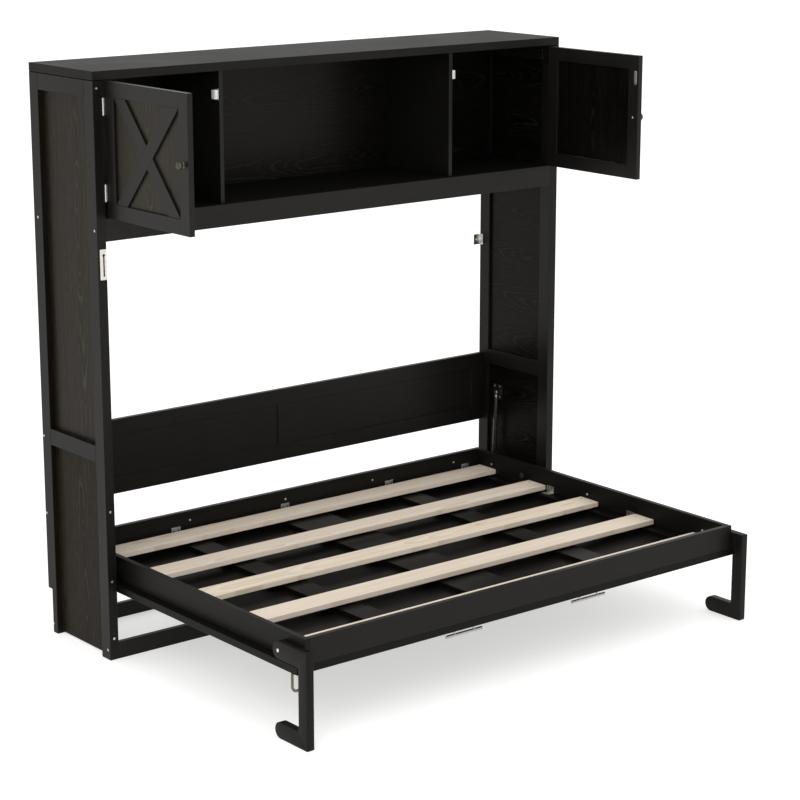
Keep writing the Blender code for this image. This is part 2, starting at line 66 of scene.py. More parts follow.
def W(x, y, z):
    """Millimetres from the cabinet's left outer face, its front plane and the floor, as a point in the frame."""
    return Vector((LO.x + x * MM, LO.y + (y + 1102.0) * MM, LO.z + z * MM))


def mirror(side, x):
    return x if side == "left" else WIDTH - x


def sgn(side):
    """+1 towards the middle of the bed from the left, -1 from the right."""
    return 1.0 if side == "left" else -1.0


# ---------------------------------------------------------------- materials
class Shader:
    """A material with a Principled BSDF and short ways to add nodes to it."""

    def __init__(self, name):
        self.mat = bpy.data.materials.new(name)
        self.mat.use_nodes = True
        self.nt = self.mat.node_tree
        self.nt.nodes.clear()
        self.out = self.add("ShaderNodeOutputMaterial")
        self.bsdf = self.add("ShaderNodeBsdfPrincipled")
        self.link(self.bsdf.outputs["BSDF"], self.out.inputs["Surface"])
        self.obj = self.add("ShaderNodeTexCoord").outputs["Object"]

    def add(self, kind, **props):
        n = self.nt.nodes.new(kind)
        for k, v in props.items():
            setattr(n, k, v)
        return n

    def link(self, a, b):
        self.nt.links.new(a, b)

    def put(self, socket, value):
        if isinstance(value, bpy.types.NodeSocket):
            self.link(value, socket)
        else:
            socket.default_value = value

    def math(self, op, a, b=0.0, c=0.0, clamp=False):
        n = self.add("ShaderNodeMath", operation=op, use_clamp=clamp)
        self.put(n.inputs[0], a)
        self.put(n.inputs[1], b)
        self.put(n.inputs[2], c)
        return n.outputs[0]

    def mapping(self, vec, scale=(1, 1, 1), loc=(0, 0, 0), rot=(0, 0, 0)):
        n = self.add("ShaderNodeMapping")
        self.link(vec, n.inputs["Vector"])
        n.inputs["Scale"].default_value = scale
        n.inputs["Location"].default_value = loc
        n.inputs["Rotation"].default_value = rot
        return n.outputs["Vector"]

    def noise(self, vec, scale, detail=2.0, rough=0.5, distortion=0.0):
        n = self.add("ShaderNodeTexNoise", noise_dimensions="3D")
        self.link(vec, n.inputs["Vector"])
        n.inputs["Scale"].default_value = scale
        n.inputs["Detail"].default_value = detail
        n.inputs["Roughness"].default_value = rough
        n.inputs["Distortion"].default_value = distortion
        return n.outputs["Fac"]

    def noise1(self, w, scale, detail=1.0):
        n = self.add("ShaderNodeTexNoise", noise_dimensions="1D")
        self.put(n.inputs["W"], w)
        n.inputs["Scale"].default_value = scale
        n.inputs["Detail"].default_value = detail
        return n.outputs["Fac"]

    def voronoi(self, vec, scale, feature="F1"):
        n = self.add("ShaderNodeTexVoronoi", feature=feature)
        self.link(vec, n.inputs["Vector"])
        n.inputs["Scale"].default_value = scale
        return n

    def remap(self, v, a, b, c, d, smooth=False):
        n = self.add("ShaderNodeMapRange", clamp=True)
        if smooth:
            n.interpolation_type = "SMOOTHSTEP"
        self.put(n.inputs["Value"], v)
        for k, x in (("From Min", a), ("From Max", b), ("To Min", c), ("To Max", d)):
            n.inputs[k].default_value = x
        return n.outputs["Result"]

    def mix(self, fac, a, b, blend="MIX"):
        n = self.add("ShaderNodeMix", data_type="RGBA", blend_type=blend)
        self.put(n.inputs[0], fac)
        for sock, v in ((n.inputs[6], a), (n.inputs[7], b)):
            if isinstance(v, bpy.types.NodeSocket):
                self.link(v, sock)
            else:
                sock.default_value = (*v, 1.0)
        return n.outputs[2]

    def split(self, vec):
        n = self.add("ShaderNodeSeparateXYZ")
        self.link(vec, n.inputs[0])
        return {"x": n.outputs[0], "y": n.outputs[1], "z": n.outputs[2]}

    def join(self, x, y, z):
        n = self.add("ShaderNodeCombineXYZ")
        for s, v in zip(n.inputs, (x, y, z)):
            self.put(s, v)
        return n.outputs[0]

    def bump(self, height, strength, distance, normal=None):
        n = self.add("ShaderNodeBump")
        n.inputs["Strength"].default_value = strength
        n.inputs["Distance"].default_value = distance
        self.link(height, n.inputs["Height"])
        if normal is not None:
            self.link(normal, n.inputs["Normal"])
        return n.outputs["Normal"]

    def edges(self, radius, low=0.02, high=0.30):
        """1 on the outer edges, 0 on the flats, from the bevelled normal."""
        b = self.add("ShaderNodeBevel", samples=4)
        b.inputs["Radius"].default_value = radius
        g = self.add("ShaderNodeNewGeometry")
        d = self.add("ShaderNodeVectorMath", operation="DOT_PRODUCT")
        self.link(b.outputs[0], d.inputs[0])
        self.link(g.outputs["Normal"], d.inputs[1])
        return self.remap(self.math("SUBTRACT", 1.0, d.outputs["Value"]), low, high, 0.0, 1.0, True)

    def set(self, **kw):
        names = {"color": "Base Color", "rough": "Roughness", "metal": "Metallic", "spec": "Specular IOR Level",
                 "normal": "Normal", "coat": "Coat Weight", "coat_rough": "Coat Roughness", "aniso": "Anisotropic",
                 "ior": "IOR", "sheen": "Sheen Weight", "sheen_rough": "Sheen Roughness", "tint": "Specular Tint",
                 "glow": "Emission Color", "glow_power": "Emission Strength"}
        for k, v in kw.items():
            s = self.bsdf.inputs[names[k]]
            if isinstance(v, tuple) and len(v) == 3:
                v = (*v, 1.0)
            self.put(s, v)
        return self.mat


STRETCH = {"x": (1.0, 26.0, 26.0), "y": (26.0, 1.0, 26.0), "z": (26.0, 26.0, 1.0)}


def black_paint(name, along, seed, tone=1.0, rough=0.37, spec=0.19, shadow_line_z=None):
    """Satin black lacquer sprayed on pine: the grain telegraphs through it, and its edges are lighter, partly rubbed
    wear and partly a painted highlight. Given a height, everything above it is painted near black as a painted shadow
    under the top board.
    """
    s = Shader(name)
    p = s.mapping(s.obj, loc=(seed * 1.37, seed * 2.11, seed * 0.73))
    g = s.mapping(p, scale=STRETCH[along])
    fibre = s.noise(g, 7.0, 6.0, 0.62, 0.25)
    fine = s.noise(g, 46.0, 4.0, 0.6)
    peel = s.noise(p, 520.0, 2.0, 0.5)
    cloud = s.noise(p, 2.6, 4.0, 0.55, 0.4)
    specks = s.noise(p, 1500.0, 1.0, 0.4)
    body = s.mix(s.remap(cloud, 0.3, 0.7, 0.0, 1.0),
                 (0.0040 * tone, 0.0038 * tone, 0.0033 * tone), (0.0062 * tone, 0.0059 * tone, 0.0051 * tone))
    body = s.mix(s.remap(fibre, 0.42, 0.72, 0.0, 0.60), body, (0.0105 * tone, 0.0099 * tone, 0.0086 * tone))
    body = s.mix(s.remap(specks, 0.68, 0.80, 0.0, 0.35), body, (0.026, 0.025, 0.023))
    # lighter edges: partly rubbed wear, partly a painted highlight where the edges catch the light
    rub_and_sheen = s.math("MULTIPLY", s.edges(0.0022), s.remap(s.noise(p, 34.0, 4.0, 0.65), 0.40, 0.72, 0.12, 1.0), clamp=True)
    body = s.mix(s.math("MULTIPLY", rub_and_sheen, 0.75), body, (0.036, 0.033, 0.029))
    r = s.remap(s.math("ADD", s.math("MULTIPLY", cloud, 0.6), s.math("MULTIPLY", fibre, 0.4)), 0.3, 0.7,
                rough - 0.05, rough + 0.07)
    r = s.math("SUBTRACT", s.math("ADD", r, s.math("MULTIPLY", s.math("SUBTRACT", fine, 0.5), 0.10)),
               s.math("MULTIPLY", rub_and_sheen, 0.07))
    n = s.bump(s.math("ADD", fibre, s.math("MULTIPLY", fine, 0.35)), 0.22, 0.0005)
    n = s.bump(peel, 0.10, 0.00025, n)
    if shadow_line_z:
        # painted shadow: above this height, just under the top board's overhang, the paint is near black with no
        # specular, standing in for the shadow line under the board
        dark = s.math("GREATER_THAN", s.split(s.obj)["z"], LO.z + shadow_line_z * MM)
        body = s.mix(dark, body, (0.0006, 0.0006, 0.0005))
        spec = s.math("MULTIPLY", s.math("SUBTRACT", 1.0, dark), spec)
    return s.set(color=body, rough=r, spec=spec, tint=(1.0, 0.975, 0.90), normal=n)


def grain_rings(s, L, C, seed, slope, spacing, wander=0.05, jitter=0.004, flat=0.02):
    """Plain-sawn growth rings. L and C run along and across the grain from where the pith comes nearest the face;
    the pith dives away from the face along the board. Returns where each ring lies in its cycle and how strong it is."""
    drift = s.math("MULTIPLY", s.math("SUBTRACT", s.noise1(s.math("ADD", L, seed * 3.7), 1.6, 2.0), 0.5), wander)
    c = s.math("ADD", C, drift)
    dive = s.math("MULTIPLY", s.math("ABSOLUTE", L), slope)
    swell = s.math("MULTIPLY", s.math("SUBTRACT", s.noise1(s.math("ADD", L, seed * 9.1 + 4.0), 2.6, 2.0), 0.5), 0.030)
    d = s.math("ADD", s.math("ADD", dive, flat), swell)
    R = s.math("SQRT", s.math("ADD", s.math("MULTIPLY", c, c), s.math("MULTIPLY", d, d)))
    v = s.join(s.math("MULTIPLY", L, 7.0), s.math("MULTIPLY", C, 34.0), seed)
    R = s.math("ADD", R, s.math("MULTIPLY", s.math("SUBTRACT", s.noise(v, 1.0, 3.0, 0.6), 0.5), jitter))
    t = s.math("FRACT", s.math("DIVIDE", R, spacing))
    power = s.noise1(s.math("FLOOR", s.math("DIVIDE", R, spacing)), 7.31, 0.0)
    return t, power


BROWN = ((0.0046, 0.0033, 0.0017), (0.0103, 0.0072, 0.0037), (0.060, 0.047, 0.032))
BLACK = ((0.0010, 0.0009, 0.0006), (0.0028, 0.0026, 0.0019), (0.0225, 0.0212, 0.0180))
DOOR_BACK = ((0.0008, 0.0007, 0.0005), (0.0026, 0.0022, 0.0014), (0.0165, 0.0145, 0.0110))


def black_oak(name, seed, face, back, split, spec=0.14, inner=BLACK):
    """Embossed oak laminate, brown-black on the show face and black on the back, with cathedral grain.
    face and back are (along, across, pith across, centre along, spacing of piths, lean, slope), in mm where they are
    lengths; split is (axis, mm, sign) and says which side is the back."""
    s = Shader(name)
    q = s.split(s.obj)
    off = {"x": W(0, 0, 0).x, "y": W(0, 0, 0).y, "z": W(0, 0, 0).z}
    side = s.math("GREATER_THAN" if split[2] > 0 else "LESS_THAN", q[split[0]], off[split[0]] + split[1] * MM)

    def pick(a, b):
        return s.math("ADD", s.math("MULTIPLY", a, s.math("SUBTRACT", 1.0, side)), s.math("MULTIPLY", b, side))

    def place(l, c, c0, l0, period, lean, slope):
        C = s.math("SUBTRACT", q[c], off[c] + c0 * MM)
        L = s.math("SUBTRACT", s.math("SUBTRACT", q[l], off[l] + l0 * MM), s.math("MULTIPLY", C, lean))
        P = period * MM
        return L, s.math("WRAP", C, P / 2, -P / 2), C

    L1, C1, F1 = place(*face)
    L2, C2, F2 = place(*back)
    L, C, F = pick(L1, L2), pick(C1, C2), pick(F1, F2)
    t, power = grain_rings(s, L, C, seed, face[6], 0.0066)
    strength = s.remap(power, 0.32, 0.68, 0.10, 1.0)
    line = s.math("MULTIPLY", s.remap(t, 0.0, 0.10, 0.0, 1.0, True), s.remap(t, 0.10, 0.50, 1.0, 0.0, True))
    broken = s.noise(s.join(s.math("MULTIPLY", L, 16.0), s.math("MULTIPLY", F, 210.0), seed), 1.0, 3.0, 0.6)
    line = s.math("MULTIPLY", s.math("MULTIPLY", line, strength), s.remap(broken, 0.34, 0.60, 0.15, 1.0, True))
    late = s.remap(t, 0.78, 0.98, 0.0, 1.0, True)
    strokes = s.noise(s.join(s.math("MULTIPLY", L, 26.0), s.math("MULTIPLY", F, 880.0), seed), 1.0, 2.0, 0.55)
    pores = s.math("MULTIPLY", s.remap(strokes, 0.53, 0.66, 0.0, 1.0, True), s.math("ADD", s.math("MULTIPLY", line, 0.9), 0.20),
                   clamp=True)
    streak = s.noise(s.join(s.math("MULTIPLY", L, 2.4), s.math("MULTIPLY", F, 60.0), seed + 3.0), 1.0, 4.0, 0.6)
    cloud = s.noise(s.mapping(s.obj, loc=(seed, seed * 2, 0)), 3.2, 4.0, 0.6, 0.5)
    tone = s.remap(s.math("ADD", s.math("MULTIPLY", cloud, 0.40), s.math("MULTIPLY", streak, 0.60)), 0.36, 0.64, 0.0, 1.0)

    def paint(dark, mid, light):
        c = s.mix(tone, dark, mid)
        c = s.mix(s.math("MULTIPLY", late, 0.45), c, tuple(0.55 * v for v in dark))
        c = s.mix(s.math("MULTIPLY", line, 0.62), c, light)
        return s.mix(s.math("MULTIPLY", pores, 0.55), c, tuple(1.15 * v for v in light))

    body = s.mix(side, paint(*BROWN), paint(*inner))
    rough = s.remap(s.math("ADD", s.math("MULTIPLY", cloud, 0.6), s.math("MULTIPLY", line, 0.4)), 0.2, 0.8, 0.31, 0.45)
    h = s.math("SUBTRACT", s.math("MULTIPLY", streak, 0.20), s.math("ADD", s.math("MULTIPLY", pores, 0.8),
                                                                    s.math("MULTIPLY", line, 0.5)))
    return s.set(color=body, rough=rough, spec=spec, tint=(1.0, 0.955, 0.87), normal=s.bump(h, 0.30, 0.0006))


def pine(name, c0, l0, slope, seed, warm=0.0):
    """Planed, unfinished pine: pale, with soft latewood lines along the slat and a few pin knots."""
    s = Shader(name)
    q = s.split(s.obj)
    L, C = q["x"], q["y"]
    t, power = grain_rings(s, s.math("SUBTRACT", L, l0), s.math("SUBTRACT", C, c0), seed, slope, 0.0115, 0.035, 0.0035, 0.02)
    late = s.math("MULTIPLY", s.math("MULTIPLY", s.remap(t, 0.35, 0.93, 0.0, 1.0, True), s.remap(t, 0.93, 1.0, 1.0, 0.0)),
                  s.remap(power, 0.25, 0.75, 0.35, 1.0))
    fibre = s.noise(s.join(s.math("MULTIPLY", L, 9.0), s.math("MULTIPLY", C, 620.0), s.math("MULTIPLY", q["z"], 620.0)),
                    1.0, 4.0, 0.62)
    streak = s.noise(s.join(s.math("MULTIPLY", L, 1.5), s.math("MULTIPLY", C, 40.0), seed), 1.0, 4.0, 0.55)
    cloud = s.noise(s.mapping(s.obj, loc=(seed * 3.1, seed, 0)), 2.1, 4.0, 0.55, 0.3)
    knots = s.voronoi(s.mapping(s.obj, scale=(1.0, 4.0, 1.0), loc=(seed * 5.3, seed * 1.9, 0)), 1.7)
    knot = s.remap(s.math("ADD", knots.outputs["Distance"], s.math("MULTIPLY", fibre, 0.010)), 0.012, 0.032, 1.0, 0.0, True)
    halo = s.remap(knots.outputs["Distance"], 0.02, 0.12, 1.0, 0.0, True)
    pale = (0.750, 0.658, 0.560 - 0.03 * warm)
    base = (0.680, 0.580, 0.476 - 0.03 * warm)
    line = (0.50, 0.405, 0.305)
    body = s.mix(s.remap(s.math("ADD", s.math("MULTIPLY", cloud, 0.4), s.math("MULTIPLY", streak, 0.6)), 0.35, 0.66, 0, 1),
                 base, pale)
    body = s.mix(s.math("MULTIPLY", late, 0.62), body, line)
    body = s.mix(s.remap(fibre, 0.52, 0.74, 0.0, 0.42), body, (0.64, 0.52, 0.39))
    body = s.mix(s.math("MULTIPLY", halo, 0.25), body, (0.47, 0.33, 0.20))
    body = s.mix(s.math("MULTIPLY", knot, 0.85), body, (0.205, 0.115, 0.058))
    soil = s.math("MULTIPLY", s.edges(0.003), 0.35)
    body = s.mix(soil, body, (0.60, 0.49, 0.365))
    rough = s.remap(s.math("ADD", s.math("MULTIPLY", late, -0.25), fibre), 0.2, 0.8, 0.56, 0.74)
    n = s.bump(s.math("ADD", s.math("MULTIPLY", fibre, 0.8), s.math("MULTIPLY", late, 0.6)), 0.30, 0.0006)
    return s.set(color=body, rough=rough, spec=0.35, normal=n)


def metal(name, colour, rough, brushed=None, smudge=0.06, dark=0.78, rub_and_sheen=None, bump=0.10, coat=0.0, metallic=1.0,
          scale=1.0):
    """Plated or coated metal: fine brushing, handling smudges, and, where given, lighter edges that are partly rubbed
    wear and partly a painted highlight.
    """
    s = Shader(name)
    p = s.mapping(s.obj, scale=(scale, scale, scale))
    st = {None: (1, 1, 1), "x": (1, 40, 40), "y": (40, 1, 40), "z": (40, 40, 1)}[brushed]
    lines = s.noise(s.mapping(p, scale=st), 90.0 if brushed else 700.0, 4.0, 0.6)
    cloud = s.noise(p, 38.0, 4.0, 0.6, 0.4)
    pits = s.noise(p, 950.0, 2.0, 0.5)
    c = s.mix(s.remap(cloud, 0.35, 0.7, 0.0, 1.0), colour, tuple(v * dark for v in colour))
    c = s.mix(s.remap(pits, 0.66, 0.80, 0.0, 0.5), c, tuple(v * 0.5 for v in colour))
    r = s.math("ADD", s.remap(cloud, 0.3, 0.7, rough - smudge, rough + smudge),
               s.math("MULTIPLY", s.math("SUBTRACT", lines, 0.5), 0.16), clamp=True)
    if rub_and_sheen is not None:
        # lighter edges: partly rubbed wear, partly a painted highlight where the edges catch the light
        e = s.math("MULTIPLY", s.edges(0.0011, 0.02, 0.25), s.remap(s.noise(p, 160.0, 3.0, 0.6), 0.35, 0.65, 0.2, 1.0))
        c = s.mix(s.math("MULTIPLY", e, 0.8), c, rub_and_sheen)
    n = s.bump(s.math("ADD", lines, s.math("MULTIPLY", pits, 0.4)), bump, 0.0002)
    s.set(color=c, rough=r, metal=metallic, normal=n, coat=coat)
    if coat:
        s.set(coat_rough=0.12)
    if brushed:
        s.set(aniso=0.35)
    return s.mat


def zinc(name):
    """Zinc-plated steel: mottled, faintly spangled, duller than nickel."""
    s = Shader(name)
    cells = s.voronoi(s.obj, 260.0)
    g = s.add("ShaderNodeRGBToBW")
    s.link(cells.outputs["Color"], g.inputs[0])
    cloud = s.noise(s.obj, 60.0, 4.0, 0.6, 0.3)
    pits = s.noise(s.obj, 1100.0, 2.0, 0.5)
    f = s.math("ADD", s.math("MULTIPLY", g.outputs[0], 0.45), s.math("MULTIPLY", cloud, 0.55))
    c = s.mix(s.remap(f, 0.3, 0.7, 0, 1), (0.44, 0.445, 0.45), (0.61, 0.61, 0.60))
    c = s.mix(s.math("MULTIPLY", s.edges(0.0012), 0.6), c, (0.72, 0.72, 0.71))
    r = s.remap(f, 0.25, 0.75, 0.34, 0.50)
    n = s.bump(s.math("ADD", s.math("MULTIPLY", pits, 0.6), g.outputs[0]), 0.08, 0.0002)
    return s.set(color=c, rough=r, metal=1.0, normal=n)


def plastic(name, colour, rough=0.42):
    s = Shader(name)
    cloud = s.noise(s.obj, 45.0, 3.0, 0.5)
    skin = s.noise(s.obj, 1600.0, 2.0, 0.5)
    c = s.mix(s.remap(cloud, 0.35, 0.7, 0.0, 1.0), colour, tuple(v * 0.90 for v in colour))
    r = s.remap(cloud, 0.3, 0.7, rough - 0.04, rough + 0.06)
    return s.set(color=c, rough=r, normal=s.bump(skin, 0.12, 0.0002))


PAINT_X = [black_paint("black_paint_hutch_rail", "x", 1.0, 1.0, 0.37, 0.165), black_paint("black_paint_guard", "x", 4.3, 1.0, 0.38, 0.150)]
PAINT_Y = [black_paint("black_paint_rails_left", "y", 2.0, 1.0, 0.38, 0.115, 2030.6), black_paint("black_paint_rails_right", "y", 4.7, 1.0, 0.38, 0.115, 2030.6)]
PAINT_Z = [black_paint("black_paint_divider", "z", 5.0), black_paint("black_paint_door", "z", 9.1, 1.0, 0.37, 0.165)]
PAINT_POST = {"front_left": black_paint("black_paint_post_a", "z", 3.1, 1.0, 0.37, 0.130, 2030.6),
              "rear_left": black_paint("black_paint_post_b", "z", 6.7, 1.0, 0.38, 0.105, 2030.6),
              "front_right": black_paint("black_paint_post_c", "z", 7.9, 1.0, 0.37, 0.130, 2030.6),
              "rear_right": black_paint("black_paint_post_d", "z", 1.6, 1.0, 0.38, 0.105, 2030.6)}
PAINT_BED = {"x": black_paint("black_paint_bed_x", "x", 6.1, 1.0, 0.40, 0.125),
             "y": black_paint("black_paint_bed_y", "y", 7.3, 1.0, 0.42, 0.088),
             "z": black_paint("black_paint_legs", "z", 8.9, 1.0, 0.40, 0.098)}
PAINT_DECK = black_paint("black_paint_deck", "x", 9.7, 0.6, 0.44, 0.085)
PAINT_TOP = black_paint("black_paint_top", "x", 3.7, 1.0, 0.56, 0.122)
# the hutch floor's paint is a darker copy (tone 0.55): painted shade for the shadow inside the hutch
PAINT_SHELF_SHADED = black_paint("black_paint_shelf_painted_shade", "x", 4.4, 0.55, 0.50, 0.10)
NICKEL = metal("nickel_plate", (0.70, 0.675, 0.635), 0.30, rub_and_sheen=(0.86, 0.84, 0.80), dark=0.84)
ZINC = zinc("zinc_plate")
CHROME = metal("chrome_plate", (0.39, 0.375, 0.34), 0.22, smudge=0.035, dark=0.93, bump=0.03)
# nickel with a dark, warm base colour: a painted reflection of the dark face panel and leg around the bail
BAIL_PAINTED_DARK_REFLECTION = metal("bail_nickel_painted_dark_reflection", (0.190, 0.165, 0.125), 0.22, smudge=0.07, dark=0.50, rub_and_sheen=(0.42, 0.38, 0.31), bump=0.10)
ROD = metal("strut_rod_chrome", (0.74, 0.74, 0.75), 0.15, brushed="z", smudge=0.04, dark=0.9, bump=0.05)
BRONZE = metal("dark_bronze", (0.088, 0.078, 0.064), 0.23, smudge=0.07, dark=0.7, rub_and_sheen=(0.21, 0.185, 0.15), metallic=0.95)
ENAMEL = metal("strut_enamel", (0.020, 0.0135, 0.0095), 0.27, brushed=None, smudge=0.05, dark=0.75, rub_and_sheen=(0.09, 0.075, 0.06),
               metallic=0.15, bump=0.06)
BLACK_STEEL = metal("black_steel", (0.0085, 0.0080, 0.0072), 0.38, smudge=0.06, dark=0.7, rub_and_sheen=(0.08, 0.078, 0.075),
                    metallic=0.1, bump=0.12)
DARK_STEEL = metal("black_oxide", (0.060, 0.058, 0.056), 0.36, smudge=0.06, dark=0.75, rub_and_sheen=(0.24, 0.235, 0.23), metallic=0.9)
WHITE_PLASTIC = plastic("catch_plastic", (0.70, 0.70, 0.68))
BLACK_PLASTIC = plastic("black_nylon", (0.022, 0.022, 0.022), 0.48)

OAK = {
    "side_upper_panel_left": black_oak("oak_upper_left", 1.0, ("z", "y", 150, 1712, 600, 0.0, 0.055),
                                       ("y", "z", 1620, 170, 190, 0.9, 0.075), ("x", 22.3, 1), 0.085),
    "side_lower_panel_left": black_oak("oak_lower_left", 2.0, ("z", "y", 185, 150, 600, 0.0, 0.058),
                                       ("y", "z", 420, 260, 190, -0.8, 0.08), ("x", 22.3, 1), 0.045),
    "side_upper_panel_right": black_oak("oak_upper_right", 8.0, ("z", "y", 190, 1250, 600, 0.0, 0.075),
                                        ("y", "z", 1545, 330, 182, 1.1, 0.10), ("x", 2077.7, -1), 0.075),
    "side_lower_panel_right": black_oak("oak_lower_right", 9.0, ("z", "y", 200, 500, 600, 0.0, 0.080),
                                        ("y", "z", 610, 330, 182, -0.9, 0.10), ("x", 2077.7, -1), 0.04),
    "door_panel_left": black_oak("oak_door_left", 4.0, ("z", "y", -250, 1990, 260, 0.2, 0.085),
                                 ("z", "y", -210, 1700, 260, 0.2, 0.085), ("x", 51.6, 1), 0.14, DOOR_BACK),
    "door_panel_right": black_oak("oak_door_right", 5.0, ("z", "y", -270, 1600, 260, 0.2, 0.085),
                                  ("z", "y", -250, 1720, 260, 0.2, 0.085), ("x", 2048.4, -1), 0.09, DOOR_BACK),
    "hutch_back_panel": black_oak("oak_back", 6.0, ("x", "z", 1870, 1330, 258, -0.9, 0.070),
                                  ("x", "z", 1870, 1330, 258, -0.9, 0.070), ("y", -2000, 1)),
}

PINES = [pine("pine_slat_%d" % (i + 1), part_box("slat_%d" % (i + 1))[0].y + dc, dl, sl, 11.0 + 3.7 * i, w)
         for i, (dc, dl, sl, w) in enumerate(((0.070, 0.35, 0.030, 0.2), (0.020, -0.55, 0.022, 0.0), (0.052, 0.80, 0.040, 0.6),
                                              (0.120, 0.0, 0.018, 0.1), (0.045, -0.30, 0.034, 0.4)))]


def finish_node(name, mat):
    me = nodes[name].data
    me.materials.clear()
    me.materials.append(mat)


for n in nodes:
    if n in OAK:
        m = OAK[n]
    elif n.startswith("slat_"):
        m = PINES[int(n[-1]) - 1]
    elif n == "face_panel":
        m = PAINT_DECK
    elif n.startswith(("bed_rail", "leg_")):
        m = PAINT_BED["y" if n in ("bed_rail_left", "bed_rail_right") else "z" if n.startswith("leg_") else "x"]
    elif n.startswith("post_"):
        m = PAINT_POST[n[5:]]
    elif n.startswith("hutch_divider"):
        m = PAINT_Z[0]
    elif n.startswith(("side_top_rail", "side_mid_rail")):
        m = PAINT_Y[0 if n.endswith("left") else 1]
    elif n.startswith(("door_frame", "door_brace")):
        m = PAINT_Z[1]
    elif n in ("top_board", "hutch_floor"):
        m = PAINT_TOP if n == "top_board" else PAINT_SHELF_SHADED
    elif n.startswith("hutch_front"):
        m = PAINT_X[0]
    elif n.startswith(("back_guard", "base_")):
        m = PAINT_X[1]
    elif n.startswith(("latch_strike", "wall_bracket", "door_hinge", "latch_bail")):
        m = NICKEL
    elif n.startswith("pivot_plate"):
        m = ZINC
    elif n.startswith("door_knob"):
        m = BRONZE
    elif n.startswith("face_handle"):
        m = CHROME
    elif n.startswith("strut_rod"):
        m = ROD
    elif n.startswith("strut_cylinder"):
        m = ENAMEL
    else:
        m = PAINT_X[0]
    finish_node(n, m)


# ------------------------------------------------------------ mesh builders
def basis(axis, spin=0.0):
    """A rotation that takes local +Z to axis."""
    axis = Vector(axis).normalized()
    return Vector((0, 0, 1)).rotation_difference(axis).to_matrix().to_4x4() @ Matrix.Rotation(spin, 4, "Z")


def temp_object(me):
    ob = bpy.data.objects.new("tmp", me)
    bpy.context.scene.collection.objects.link(ob)
    return ob


def baked(ob):
    """The object's evaluated mesh in world space; the object is removed."""
    bpy.context.view_layer.update()
    me = bpy.data.meshes.new_from_object(ob.evaluated_get(bpy.context.evaluated_depsgraph_get()))
    me.transform(ob.matrix_world)
    bpy.data.objects.remove(ob, do_unlink=True)
    return me


class Piece:
    """Gathers closed solids in frame coordinates and makes one object of them."""

    def __init__(self):
        self.bm = bmesh.new()

    def mesh(self, me, matrix=None):
        if matrix is not None:
            me = me.copy()
            me.transform(matrix)
            if matrix.determinant() < 0:
                me.flip_normals()
        self.bm.from_mesh(me)
        return self

    def lathe(self, origin, axis, profile, sides=40, squash=None):
        """profile is (radius, height) in mm from the first end to the last, each end on the axis."""
        bm = bmesh.new()
        rings = []
        for r, h in profile:
            if r < 1e-6:
                rings.append([bm.verts.new((0, 0, h * MM))])
            else:
                rings.append([bm.verts.new((r * MM * math.cos(2 * math.pi * i / sides),
                                            r * MM * math.sin(2 * math.pi * i / sides), h * MM)) for i in range(sides)])
        for a, b in zip(rings, rings[1:]):
            for i in range(sides):
                j = (i + 1) % sides
                if len(a) == 1 and len(b) == 1:
                    continue
                if len(a) == 1:
                    bm.faces.new((a[0], b[i], b[j]))
                elif len(b) == 1:
                    bm.faces.new((a[i], b[0], a[j]))
                else:
                    bm.faces.new((a[i], b[i], b[j], a[j]))
        bmesh.ops.recalc_face_normals(bm, faces=bm.faces)
        me = bpy.data.meshes.new("tmp")
        bm.to_mesh(me)
        bm.free()
        m = Matrix.Translation(origin) @ basis(axis)
        if squash is not None:
            m = m @ Matrix.Diagonal((*squash, 1.0, 1.0))
        me.transform(m)
        self.bm.from_mesh(me)
        bpy.data.meshes.remove(me)
        return self

    def plate(self, loops, plane, lo, hi, edge=0.4, res=2, cutters=()):
        """A flat piece with eased edges: closed 2D loops (mm) in a plane, from lo to hi (mm) across it."""
        me = plate_mesh(loops, plane, lo, hi, edge, res)
        if cutters:
            me = cut_mesh(me, cutters)
        self.bm.from_mesh(me)
        bpy.data.meshes.remove(me)
        return self

    def object(self, name, mat, body, slot=None, replaces=(), smooth=35.0):
        me = bpy.data.meshes.new(name)
        bmesh.ops.remove_doubles(self.bm, verts=self.bm.verts, dist=1e-7)
        self.bm.to_mesh(me)
        self.bm.free()
        for p in me.polygons:
            p.use_smooth = True
        me.set_sharp_from_angle(angle=math.radians(smooth))
        me.materials.clear()
        me.materials.append(mat)
        ob = bpy.data.objects.new(name, me)
        bpy.context.scene.collection.objects.link(ob)
        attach(ob, body)
        if replaces:
            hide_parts(*replaces)
        return ob


